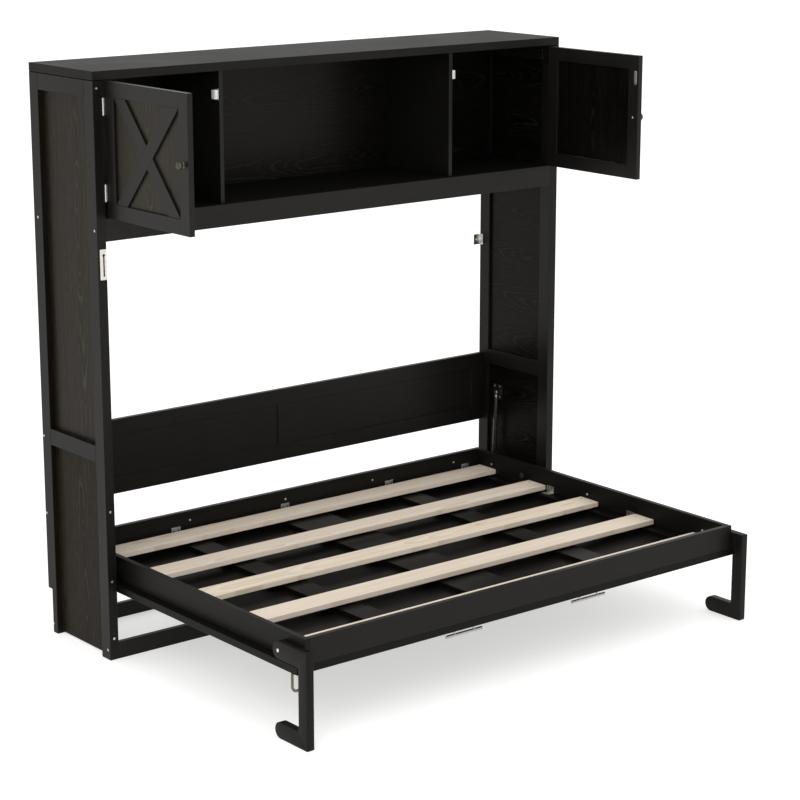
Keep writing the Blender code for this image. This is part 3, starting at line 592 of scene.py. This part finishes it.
def plate_mesh(loops, plane, lo, hi, edge=0.4, res=2):
    cu = bpy.data.curves.new("tmp", "CURVE")
    cu.dimensions = "2D"
    cu.fill_mode = "BOTH"
    cu.extrude = (abs(hi - lo) / 2 - edge) * MM
    cu.bevel_depth = edge * MM
    cu.bevel_resolution = res
    cu.offset = -edge * MM
    for loop in loops:
        sp = cu.splines.new("POLY")
        sp.points.add(len(loop) - 1)
        for p, (u, v) in zip(sp.points, loop):
            p.co = (u * MM, v * MM, 0, 1)
        sp.use_cyclic_u = True
    ob = temp_object(cu)
    mid = (lo + hi) / 2
    o = W(0, 0, 0)
    if plane == "xy":
        m = Matrix.Translation(W(0, 0, mid))
    elif plane == "yz":
        m = Matrix.Translation(W(mid, 0, 0)) @ Matrix(((0, 0, 1, 0), (1, 0, 0, 0), (0, 1, 0, 0), (0, 0, 0, 1)))
    else:
        m = Matrix.Translation(W(0, mid, 0)) @ Matrix(((1, 0, 0, 0), (0, 0, -1, 0), (0, 1, 0, 0), (0, 0, 0, 1)))
    ob.matrix_world = m
    me = baked(ob)
    bm = bmesh.new()
    bm.from_mesh(me)
    bmesh.ops.remove_doubles(bm, verts=bm.verts, dist=2e-6)
    bmesh.ops.dissolve_degenerate(bm, dist=1e-6, edges=bm.edges)
    bmesh.ops.recalc_face_normals(bm, faces=bm.faces)
    bm.to_mesh(me)
    bm.free()
    return me


def cyl_mesh(p, q, r, sides=32, r2=None):
    bm = bmesh.new()
    d = q - p
    m = Matrix.Translation((p + q) / 2) @ basis(d)
    bmesh.ops.create_cone(bm, cap_ends=True, segments=sides, radius1=r * MM, radius2=(r if r2 is None else r2) * MM,
                          depth=d.length, matrix=m)
    me = bpy.data.meshes.new("tmp")
    bm.to_mesh(me)
    bm.free()
    return me


def cut_mesh(me, cutters, mode="DIFFERENCE"):
    """me with closed cutter meshes taken away (or joined)."""
    ob = temp_object(me)
    tools = []
    for c in cutters:
        t = temp_object(c)
        tools.append(t)
        b = ob.modifiers.new("b", "BOOLEAN")
        b.operation = mode
        b.solver = "EXACT"
        b.object = t
    out = baked(ob)
    for t in tools:
        bpy.data.objects.remove(t, do_unlink=True)
    return out


def arc(cx, cy, r, a0, a1, n):
    return [(cx + r * math.cos(math.radians(a0 + (a1 - a0) * i / n)),
             cy + r * math.sin(math.radians(a0 + (a1 - a0) * i / n))) for i in range(n + 1)]


def rounded(x0, x1, y0, y1, r, n=6):
    return (arc(x1 - r, y1 - r, r, 0, 90, n) + arc(x0 + r, y1 - r, r, 90, 180, n)
            + arc(x0 + r, y0 + r, r, 180, 270, n) + arc(x1 - r, y0 + r, r, 270, 360, n))


def circle(cx, cy, r, n=28):
    return arc(cx, cy, r, 0, 360, n)[:-1]


# ------------------------------------------------------------- screw heads
def lathe_mesh(profile, sides=36):
    p = Piece()
    p.lathe(Vector((0, 0, 0)), (0, 0, 1), profile, sides)
    me = bpy.data.meshes.new("head")
    p.bm.to_mesh(me)
    p.bm.free()
    return me


def cross_cutters(width, length, top, depth):
    """Two tapered bars that cut a cross recess."""
    out = []
    for k in range(2):
        bm = bmesh.new()
        bmesh.ops.create_cube(bm, size=1.0)
        for v in bm.verts:
            f = 1.0 if v.co.z > 0 else 0.45
            v.co = Vector((v.co.x * length * 2 * f * MM, v.co.y * width * (1.0 if v.co.z > 0 else 0.6) * MM,
                           (top + 1.0 if v.co.z > 0 else top - depth) * MM))
        me = bpy.data.meshes.new("cross")
        bm.to_mesh(me)
        bm.free()
        me.transform(Matrix.Rotation(math.pi / 2 * k, 4, "Z"))
        out.append(me)
    return out


def hex_cutter(r, top, depth):
    bm = bmesh.new()
    bmesh.ops.create_cone(bm, cap_ends=True, segments=6, radius1=r * MM, radius2=r * MM, depth=(depth + 1.0) * MM,
                          matrix=Matrix.Translation((0, 0, (top - depth / 2 + 0.5) * MM)))
    me = bpy.data.meshes.new("hex")
    bm.to_mesh(me)
    bm.free()
    return me


def pan_profile(r, h):
    return [(0, -1.2), (r * 0.45, -1.2), (r * 0.45, 0.0), (r * 0.96, 0.0), (r, h * 0.12), (r, h * 0.42), (r * 0.95, h * 0.62),
            (r * 0.84, h * 0.80), (r * 0.66, h * 0.93), (r * 0.4, h * 0.99), (0, h)]


HEADS = {
    # pan head with a cross recess, seat at 0
    "pan": cut_mesh(lathe_mesh(pan_profile(4.4, 2.5)), cross_cutters(0.9, 2.3, 2.5, 1.5)),
    "pan_small": cut_mesh(lathe_mesh(pan_profile(3.4, 2.0)), cross_cutters(0.75, 1.8, 2.0, 1.2)),
    # countersunk head, its flat face at 0.25
    "flat": cut_mesh(lathe_mesh([(0, -2.4), (1.8, -2.4), (1.8, -2.0), (3.7, -0.15), (3.8, 0.1), (3.6, 0.25), (0, 0.32)]),
                     cross_cutters(0.8, 1.9, 0.3, 1.4)),
    "flat_small": cut_mesh(lathe_mesh([(0, -1.6), (1.2, -1.6), (1.2, -1.3), (2.75, -0.1), (2.85, 0.08), (2.7, 0.2), (0, 0.26)]),
                           cross_cutters(0.65, 1.45, 0.26, 1.0)),
    # furniture bolt with a hex socket, its face at 0
    "bolt": cut_mesh(lathe_mesh([(0, -2.8), (3.2, -2.8), (3.2, -2.5), (4.7, -2.3), (4.95, -1.9), (4.95, -0.55), (4.6, -0.12),
                                 (4.1, 0.0), (0, 0.0)]), [hex_cutter(2.35, 0.0, 1.7)]),
    # round-head bolt with a hex socket, seat at 0
    "dome": cut_mesh(lathe_mesh([(0, -0.2), (6.2, -0.2), (6.5, 0.15), (6.5, 0.9), (6.0, 1.9), (4.9, 2.8), (3.3, 3.25), (0, 3.35)]),
                     [hex_cutter(2.35, 3.3, 1.9)]),
}


def head(piece, kind, at, normal, spin=0.0, scale=1.0):
    m = Matrix.Translation(at) @ basis(normal, math.radians(spin)) @ Matrix.Scale(scale, 4)
    piece.mesh(HEADS[kind], m)


# --------------------------------------------------------- cabinet fittings
bolts = Piece()
spins = 7.0
for s in SIDES:
    out = Vector((-sgn(s), 0, 0))
    for x, z in ((15.5, 2006.0), (18.0, 541.0), (17.0, 288.0), (18.0, 77.5)) if s == "left" else ():
        spins += 37.0
        head(bolts, "bolt", W(mirror(s, x), 0.5, z), (0, -1, 0), spins)
    for y, z in ((18.0, 1527.5), (18.0, 34.5), (391.0, 1527.5), (407.5, 736.0), (407.5, 448.0), (387.5, 33.0)):
        spins += 37.0
        head(bolts, "bolt", W(mirror(s, 0.5), y, z), out, spins)
bolts.object("frame_bolts", NICKEL, "cabinet", "nickel")

# latch strike plate on the left post, with a keyhole and two countersunk screws
slot = arc(22.0, 1444.0, 5.0, -57.5, 237.5, 20) + arc(22.0, 1374.0, 2.69, 180, 360, 10)
p = Piece()
p.plate([rounded(7.1, 33.9, 1360.1, 1465.4, 3.2), slot], "xz", -2.3, -0.3, 0.35, 2)
p.object("latch_plate", NICKEL, "cabinet", "nickel", ["latch_strike_left"])
sc = Piece()
head(sc, "flat_small", W(22.0, -2.25, 1457.0), (0, -1, 0), 20)
head(sc, "flat_small", W(13.0, -2.25, 1366.0), (0, -1, 0), 64)
sc.object("latch_plate_screws", NICKEL, "cabinet", "nickel")

for s in SIDES:
    # wall bracket: bent strip, one leg on the post and one on the wall
    a, b = mirror(s, 35.4), mirror(s, 70.4)
    k = sgn(s)
    prof = ([(a, 396.1), (a + k * 2.2, 396.1), (a + k * 2.2, 409.8)]
            + [(a + k * (2.2 + 2.9 - 2.9 * math.cos(t * math.pi / 12)), 409.8 + 2.9 * math.sin(t * math.pi / 12)) for t in range(1, 7)]
            + [(b, 412.7), (b, 414.9), (a + k * 2.9, 414.9)]
            + [(a + k * 2.9 * (1 - math.sin(t * math.pi / 12)), 412.0 + 2.9 * math.cos(t * math.pi / 12)) for t in range(1, 7)])
    holes = [cyl_mesh(W(mirror(s, 58.0), 405, 1222.0), W(mirror(s, 58.0), 420, 1222.0), 2.3)]
    p = Piece()
    p.plate([prof], "xy", 1201.1, 1242.9, 0.35, 1, holes)
    p.object("angle_bracket_" + s, NICKEL, "cabinet", "nickel", ["wall_bracket_" + s])
    sc = Piece()
    for z in (1210.5, 1233.5):
        head(sc, "pan_small", W(mirror(s, 37.65), 402.0, z), (k, 0, 0), z, 0.9)
    sc.object("angle_bracket_screws_" + s, NICKEL, "cabinet", "nickel")

    # screw through the side's top rail, seen inside the hutch
    sc = Piece()
    head(sc, "flat_small", W(mirror(s, 35.1), 82.5, 2008.5), (k, 0, 0), 40)
    sc.object("top_rail_screw_" + s, NICKEL, "cabinet", "nickel")

    # pivot plate, its bush and the pin that the bed turns on
    k = sgn(s)
    p = Piece()
    me = plate_mesh([rounded(12.0, 112.0, 264.0, 339.0, 12.0, 8)], "yz", *sorted((mirror(s, 35.35), mirror(s, 39.25))), 0.5, 2)
    p.mesh(me)
    p.lathe(W(mirror(s, 39.2), 81.5, 301.5), (k, 0, 0),
            [(0, 0), (13.5, 0), (14.0, 0.6), (14.0, 3.0), (13.0, 3.8), (10.6, 4.0), (10.6, 31.0), (9.9, 31.8), (0, 31.8)], 44)
    p.lathe(W(mirror(s, 70.0), 81.5, 301.5), (k, 0, 0),
            [(0, 0), (7.9, 0), (7.9, 20.6), (7.2, 21.4), (0, 21.4)], 44)
    p.object("pivot_pin_" + s, ZINC, "cabinet", "zinc_steel", ["pivot_plate_" + s])
    sc = Piece()
    for y, z in ((24.0, 276.0), (24.0, 327.0), (47.0, 301.5), (47.0, 276.0), (47.0, 327.0)):
        head(sc, "flat", W(mirror(s, 39.3), y, z), (k, 0, 0), y * z)
    sc.object("pivot_plate_screws_" + s, ZINC, "cabinet", "zinc_steel")

    # magnet catch on the divider: steel bracket, plastic body, two pole strips
    p = Piece()
    x0, x1 = sorted((mirror(s, 519.4), mirror(s, 520.9)))
    p.plate([rounded(23.6, 48.0, 1927.5, 1970.5, 2.5, 5)], "yz", x0, x1, 0.3, 1)
    p.object("catch_bracket_" + s, NICKEL, "cabinet", "nickel")
    p = Piece()
    x0, x1 = sorted((mirror(s, 505.0), mirror(s, 519.3)))
    p.plate([rounded(24.0, 45.0, 1933.0, 1965.0, 2.0, 5)], "yz", x0, x1, 0.8, 2)
    p.object("catch_body_" + s, WHITE_PLASTIC, "cabinet", "nickel")
    p = Piece()
    for xa in (508.0, 514.6):
        x0, x1 = sorted((mirror(s, xa), mirror(s, xa + 1.4)))
        p.plate([rounded(23.1, 31.0, 1937.0, 1961.0, 1.0, 3)], "yz", x0, x1, 0.2, 1)
    p.object("catch_poles_" + s, ZINC, "cabinet", "zinc_steel")
    sc = Piece()
    for z in (1930.4, 1967.6):
        head(sc, "flat_small", W(mirror(s, 519.35), 34.0, z), (-k, 0, 0), z, 0.75)
    sc.object("catch_screws_" + s, ZINC, "cabinet", "zinc_steel")

# ------------------------------------------------------------------- hinges
for s in SIDES:
    k = sgn(s)
    for n, zc in (("lower", 1655.0), ("upper", 1945.0)):
        axis_x = mirror(s, 36.0)
        # cabinet half: leaf on the post, end knuckles, pin with ball tips
        p = Piece()
        x0, x1 = sorted((mirror(s, 35.35), mirror(s, 36.45)))
        leaf = plate_mesh([rounded(-4.6, 16.0, zc - 28.0, zc + 28.0, 2.2, 5)], "yz", x0, x1, 0.25, 1)
        p.mesh(leaf)
        for a, b in ((-28.0, -17.2), (-5.5, 5.5), (17.2, 28.0)):
            p.lathe(W(axis_x, -5, zc + a), (0, 0, 1), [(0, 0), (3.7, 0), (4.1, 0.4), (4.1, b - a - 0.4), (3.7, b - a), (0, b - a)], 32)
        for e, h in ((-1, 0), (1, 0)):
            p.lathe(W(axis_x, -5, zc + e * 27.9), (0, 0, e), [(0, 0), (3.0, 0), (3.0, 0.4), (2.6, 0.9), (3.3, 1.2), (3.4, 1.6),
                                                              (2.8, 1.9), (1.6, 2.05), (0, 2.1)], 28)
        p.object("hinge_post_half_%s_%s" % (n, s), NICKEL, "cabinet", "nickel", ["door_hinge_%s_%s" % (n, s)])
        # door half: leaf on the door's edge and the two knuckles between
        p = Piece()
        x0, x1 = sorted((mirror(s, 36.9), mirror(s, 58.0)))
        leaf = plate_mesh([rounded(x0, x1, zc - 28.0, zc + 28.0, 2.2, 5)], "xz", -6.85, -5.8, 0.25, 1)
        p.mesh(leaf)
        for a, b in ((-16.9, -5.8), (5.8, 16.9)):
            p.lathe(W(axis_x, -5, zc + a), (0, 0, 1), [(0, 0), (3.7, 0), (4.1, 0.4), (4.1, b - a - 0.4), (3.7, b - a), (0, b - a)], 32)
        p.object("hinge_door_half_%s_%s" % (n, s), NICKEL, "door_" + s, "nickel")
        sc = Piece()
        for dz in (-19.0, 0.0, 19.0):
            head(sc, "flat_small", W(mirror(s, 36.45), 8.5, zc + dz), (k, 0, 0), dz * 3 + zc, 0.62)
        sc.object("hinge_post_screws_%s_%s" % (n, s), NICKEL, "cabinet", "nickel")
        sc = Piece()
        for dz in (-19.0, 0.0, 19.0):
            head(sc, "flat_small", W(mirror(s, 50.0), -5.85, zc + dz), (0, 1, 0), dz * 5 + zc, 0.62)
        sc.object("hinge_door_screws_%s_%s" % (n, s), NICKEL, "door_" + s, "nickel")

# ----------------------------------------------------------- door fittings
for s in SIDES:
    k = sgn(s)
    out = Vector((-k, 0, 0))
    zk = 1800.5
    p = Piece()
    p.lathe(W(mirror(s, 40.7), -472.5, zk), out,
            [(0, 0), (10.2, 0), (10.5, 0.5), (10.3, 1.3), (9.2, 2.1), (7.0, 3.0), (5.7, 4.6), (5.2, 7.0), (5.5, 9.2),
             (7.4, 11.0), (10.4, 12.7), (12.8, 14.7), (13.8, 17.2), (13.6, 19.8), (12.4, 22.3), (10.2, 24.3), (7.2, 25.7),
             (3.8, 26.4), (0, 26.6)], 56)
    p.object("knob_" + s, BRONZE, "door_" + s, "dark_bronze", ["door_knob_" + s])
    sc = Piece()
    head(sc, "pan", W(mirror(s, 61.05), -472.5, zk), (k, 0, 0), 25)
    sc.object("knob_screw_" + s, NICKEL, "door_" + s, "nickel")
    p = Piece()
    x0, x1 = sorted((mirror(s, 61.1), mirror(s, 62.3)))
    oval = arc(-483.0, 1948.0 + 19.0, 7.0, 0, 180, 14) + arc(-483.0, 1948.0 - 19.0, 7.0, 180, 360, 14)
    p.plate([oval], "yz", x0, x1, 0.35, 2)
    p.object("catch_plate_" + s, ZINC, "door_" + s, "zinc_steel")
    sc = Piece()
    head(sc, "flat_small", W(mirror(s, 62.3), -483.0, 1948.0), (k, 0, 0), 15, 0.8)
    sc.object("catch_plate_screw_" + s, ZINC, "door_" + s, "zinc_steel")

# ------------------------------------------------------------------ handles
for s in SIDES:
    cx = mirror(s, 763.0)
    p = Piece()
    h = 158.0
    p.lathe(W(cx - h / 2, -1018, 217), (1, 0, 0), [(0, 0), (4.3, 0), (5.1, 0.3), (5.45, 0.9), (5.45, h - 0.9), (5.1, h - 0.3),
                                                 (4.3, h), (0, h)], 48)
    for dx in (-42.0, 42.0):
        p.lathe(W(cx + dx, -1018, 220), (0, 0, 1), [(0, 0), (3.6, 0), (3.6, 16.5), (3.8, 17.6), (3.9, 19.0), (3.9, 22.1), (0, 22.1)], 32)
    p.object("bar_handle_" + s, CHROME, "bed", "chrome", ["face_handle_" + s])

# --------------------------------------------------------------------- legs
LY, LZ = -949.0, 299.5
FRONT = -1102.0
INNER = FRONT + 47.0
for s in SIDES:
    k = sgn(s)
    leg = (arc(FRONT + 4, 4, 4, 180, 270, 5) + arc(-927.0 - 28.0, 28.0, 28.0, -90, 90, 36)
           + arc(INNER + 6, 62, 6, -90, -180, 8) + arc(INNER + 6, LZ - 36, 6, 180, 90, 8)
           + arc(LY, LZ, 30.0, -90, 90, 40) + arc(FRONT + 4, 325.5, 4, 90, 180, 5))
    x0, x1 = sorted((mirror(s, 41.0), mirror(s, 69.0)))
    p = Piece()
    p.plate([leg], "yz", x0, x1, 1.8, 4)
    p.object("folding_leg_" + s, PAINT_BED["z"], "leg_" + s, "black_paint", ["leg_" + s], smooth=50.0)
    # the bolt it turns on: domed head outside, washer between leg and rail
    p = Piece()
    head(p, "dome", W(mirror(s, 41.05), LY, LZ), (-k, 0, 0), 11, 0.98)
    p.object("leg_bolt_" + s, NICKEL, "leg_" + s, "nickel")
    p = Piece()
    p.lathe(W(mirror(s, 72.25), LY, LZ), (-k, 0, 0), [(0, 0), (10.5, 0), (11.0, 0.4), (11.0, 2.2), (10.5, 2.6), (0, 2.6)], 40)
    p.object("leg_washer_" + s, BLACK_PLASTIC, "bed", "black_enamel")

# -------------------------------------------------------------- latch bail
def hanging_loop(x0, x1, z0, z1, top, bottom, n):
    return (arc(x1 - top, z1 - top, top, 0, 90, n) + arc(x0 + top, z1 - top, top, 90, 180, n)
            + arc(x0 + bottom, z0 + bottom, bottom, 180, 270, 2 * n) + arc(x1 - bottom, z0 + bottom, bottom, 270, 360, 2 * n))


p = Piece()
p.plate([hanging_loop(46.1, 95.9, 170.1, 237.9, 4.5, 23.0, 10), hanging_loop(54.6, 87.4, 179.3, 231.0, 2.5, 14.5, 8)],
        "xz", -1015.5, -1008.5, 2.2, 5)
p.object("bail", BAIL_PAINTED_DARK_REFLECTION, "latch_bail_left", "nickel", ["latch_bail_left"], smooth=50.0)
# the clip under the face panel that the bail hangs from: a plate
p = Piece()
p.plate([rounded(50.0, 92.0, -1026.0, -998.0, 3.0, 6)], "xy", 240.7, 242.3, 0.35, 2)
p.object("bail_clip", BAIL_PAINTED_DARK_REFLECTION, "bed", "nickel")
p = Piece()
for x in (54.5, 87.5):
    head(p, "flat_small", W(x, -1021.5, 240.75), (0, 0, -1), x * 3, 0.8)
    head(p, "flat_small", W(x, -1002.5, 240.75), (0, 0, -1), x * 5, 0.8)
p.object("bail_clip_screws", BAIL_PAINTED_DARK_REFLECTION, "bed", "nickel")

# ------------------------------------------------------------------ struts
dy, dz = 300.0 - 288.0, 285.0 - 603.0
length = math.hypot(dy, dz)
for s in SIDES:
    k = sgn(s)
    sx = mirror(s, 50.0)
    top = W(sx, 288.0, 603.0)
    down = Vector((0, dy, dz)).normalized()
    # rod end at the top: an eye on the stud, a clevis collar, then the painted tube
    p = Piece()
    p.lathe(top + down * 20.0 * MM, down, [(0, 0), (7.2, 0), (8.6, 1.6), (9.0, 3.4), (9.0, 273.0), (8.7, 275.6), (7.6, 278.0),
                                           (6.4, 279.2), (4.9, 279.5), (4.9, 200.0), (0, 200.0)], 48)
    p.object("strut_tube_" + s, ENAMEL, "strut_cylinder_" + s, "black_enamel", ["strut_cylinder_" + s])
    p = Piece()
    p.lathe(top - Vector((5.4 * MM, 0, 0)), (1, 0, 0), [(0, 0), (7.6, 0), (8.3, 0.7), (8.3, 10.1), (7.6, 10.8), (0, 10.8)], 40)
    p.lathe(top + down * 5.5 * MM, down, [(0, 0), (5.0, 0), (5.2, 4.0), (5.6, 4.4), (5.6, 11.0), (5.0, 11.5), (5.0, 14.4), (0, 14.4)], 40)
    p.object("strut_top_end_" + s, NICKEL, "strut_cylinder_" + s, "nickel")
    p = Piece()
    low = W(sx, 300.0, 285.0)
    p.lathe(top + down * 48.5 * MM, down, [(0, 0), (3.6, 0), (3.95, 0.5), (3.95, length - 48.5 - 6.0), (0, length - 48.5 - 6.0)], 40)
    p.object("strut_piston_" + s, ROD, "strut_rod_" + s, "rod_chrome", ["strut_rod_" + s])
    p = Piece()
    p.lathe(low - Vector((4.9 * MM, 0, 0)), (1, 0, 0), [(0, 0), (7.2, 0), (7.9, 0.7), (7.9, 9.1), (7.2, 9.8), (0, 9.8)], 40)
    p.lathe(low - down * 22.0 * MM, down, [(0, 0), (4.6, 0), (5.4, 0.8), (5.4, 8.0), (4.9, 8.6), (4.9, 16.0), (0, 16.0)], 40)
    p.object("strut_low_end_" + s, NICKEL, "strut_rod_" + s, "nickel")
    # bracket on the side panel with the top stud
    p = Piece()
    x0, x1 = sorted((mirror(s, 24.7), mirror(s, 27.2)))
    p.plate([rounded(277.0, 334.0, 569.0, 632.0, 5.0, 6)], "yz", x0, x1, 0.35, 1)
    p.lathe(W(mirror(s, 27.1), 288.0, 603.0), (k, 0, 0),
            [(0, 0), (8.5, 0), (8.8, 0.4), (8.6, 2.2), (6.0, 3.0), (4.6, 4.0), (4.6, 12.8), (5.9, 14.0), (6.4, 15.6), (6.2, 16.8), (0, 17.0)], 36)
    p.object("strut_bracket_" + s, BLACK_STEEL, "cabinet", "black_enamel")
    sc = Piece()
    for y, z in ((293.0, 579.0), (323.0, 579.0), (293.0, 622.5), (323.0, 622.5)):
        head(sc, "pan_small", W(mirror(s, 27.2), y, z), (k, 0, 0), y + z)
    sc.object("strut_bracket_screws_" + s, NICKEL, "cabinet", "nickel")
    # stud on the bed rail for the rod's end
    p = Piece()
    p.lathe(W(mirror(s, 72.25), 300.0, 285.0), (-k, 0, 0),
            [(0, 0), (10.5, 0), (10.8, 0.5), (10.4, 2.2), (6.4, 2.8), (5.6, 4.0), (5.6, 14.6), (4.6, 15.6), (0, 15.8)], 36)
    p.object("strut_stud_" + s, ZINC, "bed", "zinc_steel")

# ------------------------------------------------------- bed frame fittings
sc = Piece()
i = 0
for x in (150.0, 583.0, 1027.0, 1457.0, 1881.0):
    i += 1
    head(sc, "pan", W(x, 357.95, 321.0), (0, -1, 0), i * 31)
    head(sc, "pan", W(x, -1029.95, 321.0), (0, 1, 0), i * 47)
for s in SIDES:
    for y in (265.0, -304.0, -924.0):
        i += 1
        head(sc, "pan", W(mirror(s, 92.35), y, 311.0), (sgn(s), 0, 0), i * 29)
sc.object("rail_screws", NICKEL, "bed", "nickel")

# angle brackets on the rails that carry the slats
def angle(piece, wall, along, up, centre, width=40.0, drop=(272.0, 303.0), reach=26.0):
    """A bent strip: one leg up the rail's inner face, one lying under the slat."""
    t = 1.8
    if wall == "x":
        side = along
        k = sgn(side)
        a = mirror(side, 92.4)
        prof = [(a, drop[1]), (a + k * t, drop[1]), (a + k * t, drop[0] + t + 1.2), (a + k * (t + 1.2), drop[0] + t),
                (a + k * reach, drop[0] + t), (a + k * reach, drop[0]), (a + k * 1.0, drop[0]), (a, drop[0] + 1.0)]
        piece.plate([prof], "xz", centre - width / 2, centre + width / 2, 0.3, 1)
    else:
        y = along
        k = up
        prof = [(y, drop[1]), (y + k * t, drop[1]), (y + k * t, drop[0] + t + 1.2), (y + k * (t + 1.2), drop[0] + t),
                (y + k * reach, drop[0] + t), (y + k * reach, drop[0]), (y + k * 1.0, drop[0]), (y, drop[0] + 1.0)]
        piece.plate([prof], "yz", centre - width / 2, centre + width / 2, 0.3, 1)


brackets = Piece()
bsc = Piece()
for x in (205.0, 520.0, 1025.0, 1541.0, 1943.0):
    angle(brackets, "y", 357.9, -1, x, drop=(269.5, 305.0), reach=52.0)
    for dx in (-11.0, 11.0):
        head(bsc, "pan_small", W(x + dx, 356.1, 291.0), (0, -1, 0), x + dx, 0.9)
for s in SIDES:
    for y, w in ((-92.0, 40.0), (-545.0, 40.0), (-1000.0, 30.0)):
        angle(brackets, "x", s, 1, y, w, drop=(269.5, 297.0), reach=30.0)
        for dyy in (-10.0, 10.0):
            head(bsc, "pan_small", W(mirror(s, 94.25), y + dyy * w / 40.0, 291.5), (sgn(s), 0, 0), y + dyy, 0.9)
brackets.object("slat_brackets", ZINC, "bed", "zinc_steel")
bsc.object("slat_bracket_screws", DARK_STEEL, "bed", "black_enamel")

# caps over the ends of the pivot pins, on the inner faces of the side rails
for s in SIDES:
    p = Piece()
    p.lathe(W(mirror(s, 92.35), 81.5, 301.5), (sgn(s), 0, 0),
            [(0, 0), (11.8, 0), (12.0, 0.4), (11.6, 1.1), (9.0, 1.8), (4.0, 2.1), (0, 2.2)], 40)
    p.object("pivot_cap_" + s, BLACK_PLASTIC, "bed", "black_paint")

slat_screws = Piece()
for j in range(1, 6):
    lo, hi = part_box("slat_%d" % j)
    ym = (lo.y + hi.y) / 2
    for x in (112.0, 1988.0):
        for d in (-0.027, 0.027):
            c = W(x, 0, 0)
            head(slat_screws, "flat_small", Vector((c.x, ym + d, hi.z)), (0, 0, 1), x + d * 900 + j * 17)
slat_screws.object("slat_screws", DARK_STEEL, "bed", "black_enamel")

# ------------------------------------------------------------- floor, light
def floor_material():
    s = Shader("floor_paint")
    cloud = s.noise(s.obj, 0.8, 3.0, 0.5)
    fine = s.noise(s.obj, 160.0, 3.0, 0.6)
    c = s.mix(s.remap(cloud, 0.3, 0.7, 0.0, 1.0), (0.600, 0.598, 0.594), (0.625, 0.623, 0.620))
    return s.set(glow=(1.0, 0.997, 0.992), glow_power=0.56, color=c, rough=s.remap(fine, 0.3, 0.7, 0.62, 0.72), spec=0.25, normal=s.bump(fine, 0.04, 0.0003))


bm = bmesh.new()
bmesh.ops.create_circle(bm, cap_ends=True, segments=96, radius=60.0)
me = bpy.data.meshes.new("floor")
bm.to_mesh(me)
bm.free()
floor = bpy.data.objects.new("floor", me)
floor.location = (0, 0, LO.z - 0.0006)
me.materials.append(floor_material())
bpy.context.scene.collection.objects.link(floor)
floor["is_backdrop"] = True

world = bpy.data.worlds.new("studio")
bpy.context.scene.world = world
world.use_nodes = True
bg = world.node_tree.nodes["Background"]
bg.inputs["Color"].default_value = (1.0, 0.995, 0.985, 1.0)
bg.inputs["Strength"].default_value = 1.06


def area(name, loc, target, size, power, colour=(1, 1, 1), size_y=None):
    li = bpy.data.lights.new(name, "AREA")
    li.energy = power
    li.color = colour
    li.shape = "RECTANGLE"
    li.size = size
    li.size_y = size_y or size
    ob = bpy.data.objects.new(name, li)
    ob.location = loc
    ob.rotation_mode = "QUATERNION"
    ob.rotation_quaternion = (Vector(target) - Vector(loc)).to_track_quat("-Z", "Y")
    ob.visible_camera = False
    bpy.context.scene.collection.objects.link(ob)
    return ob


area("key", (-4.2, -3.4, 3.9), (0, 0, 0.9), 2.6, 70.0, (1.0, 0.99, 0.975))
area("top", (0.0, -1.2, 5.4), (0, 0, 0.5), 4.5, 48.0)

scene = bpy.context.scene
scene.view_settings.view_transform = "Standard"
scene.view_settings.look = "None"

cam_data = bpy.data.cameras.new("camera")
cam = bpy.data.objects.new("camera", cam_data)
scene.collection.objects.link(cam)
cam_data.sensor_width = 36.0
cam_data.lens = 103.4
cam_data.clip_start, cam_data.clip_end = 0.1, 200.0
cam_data.dof.use_dof = False
cam.location = (-5.057, -6.2285, 2.832)
cam.rotation_euler = (math.radians(90.0 - 13.89), 0.0, math.radians(-38.97))
scene.camera = cam

lo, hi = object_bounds()
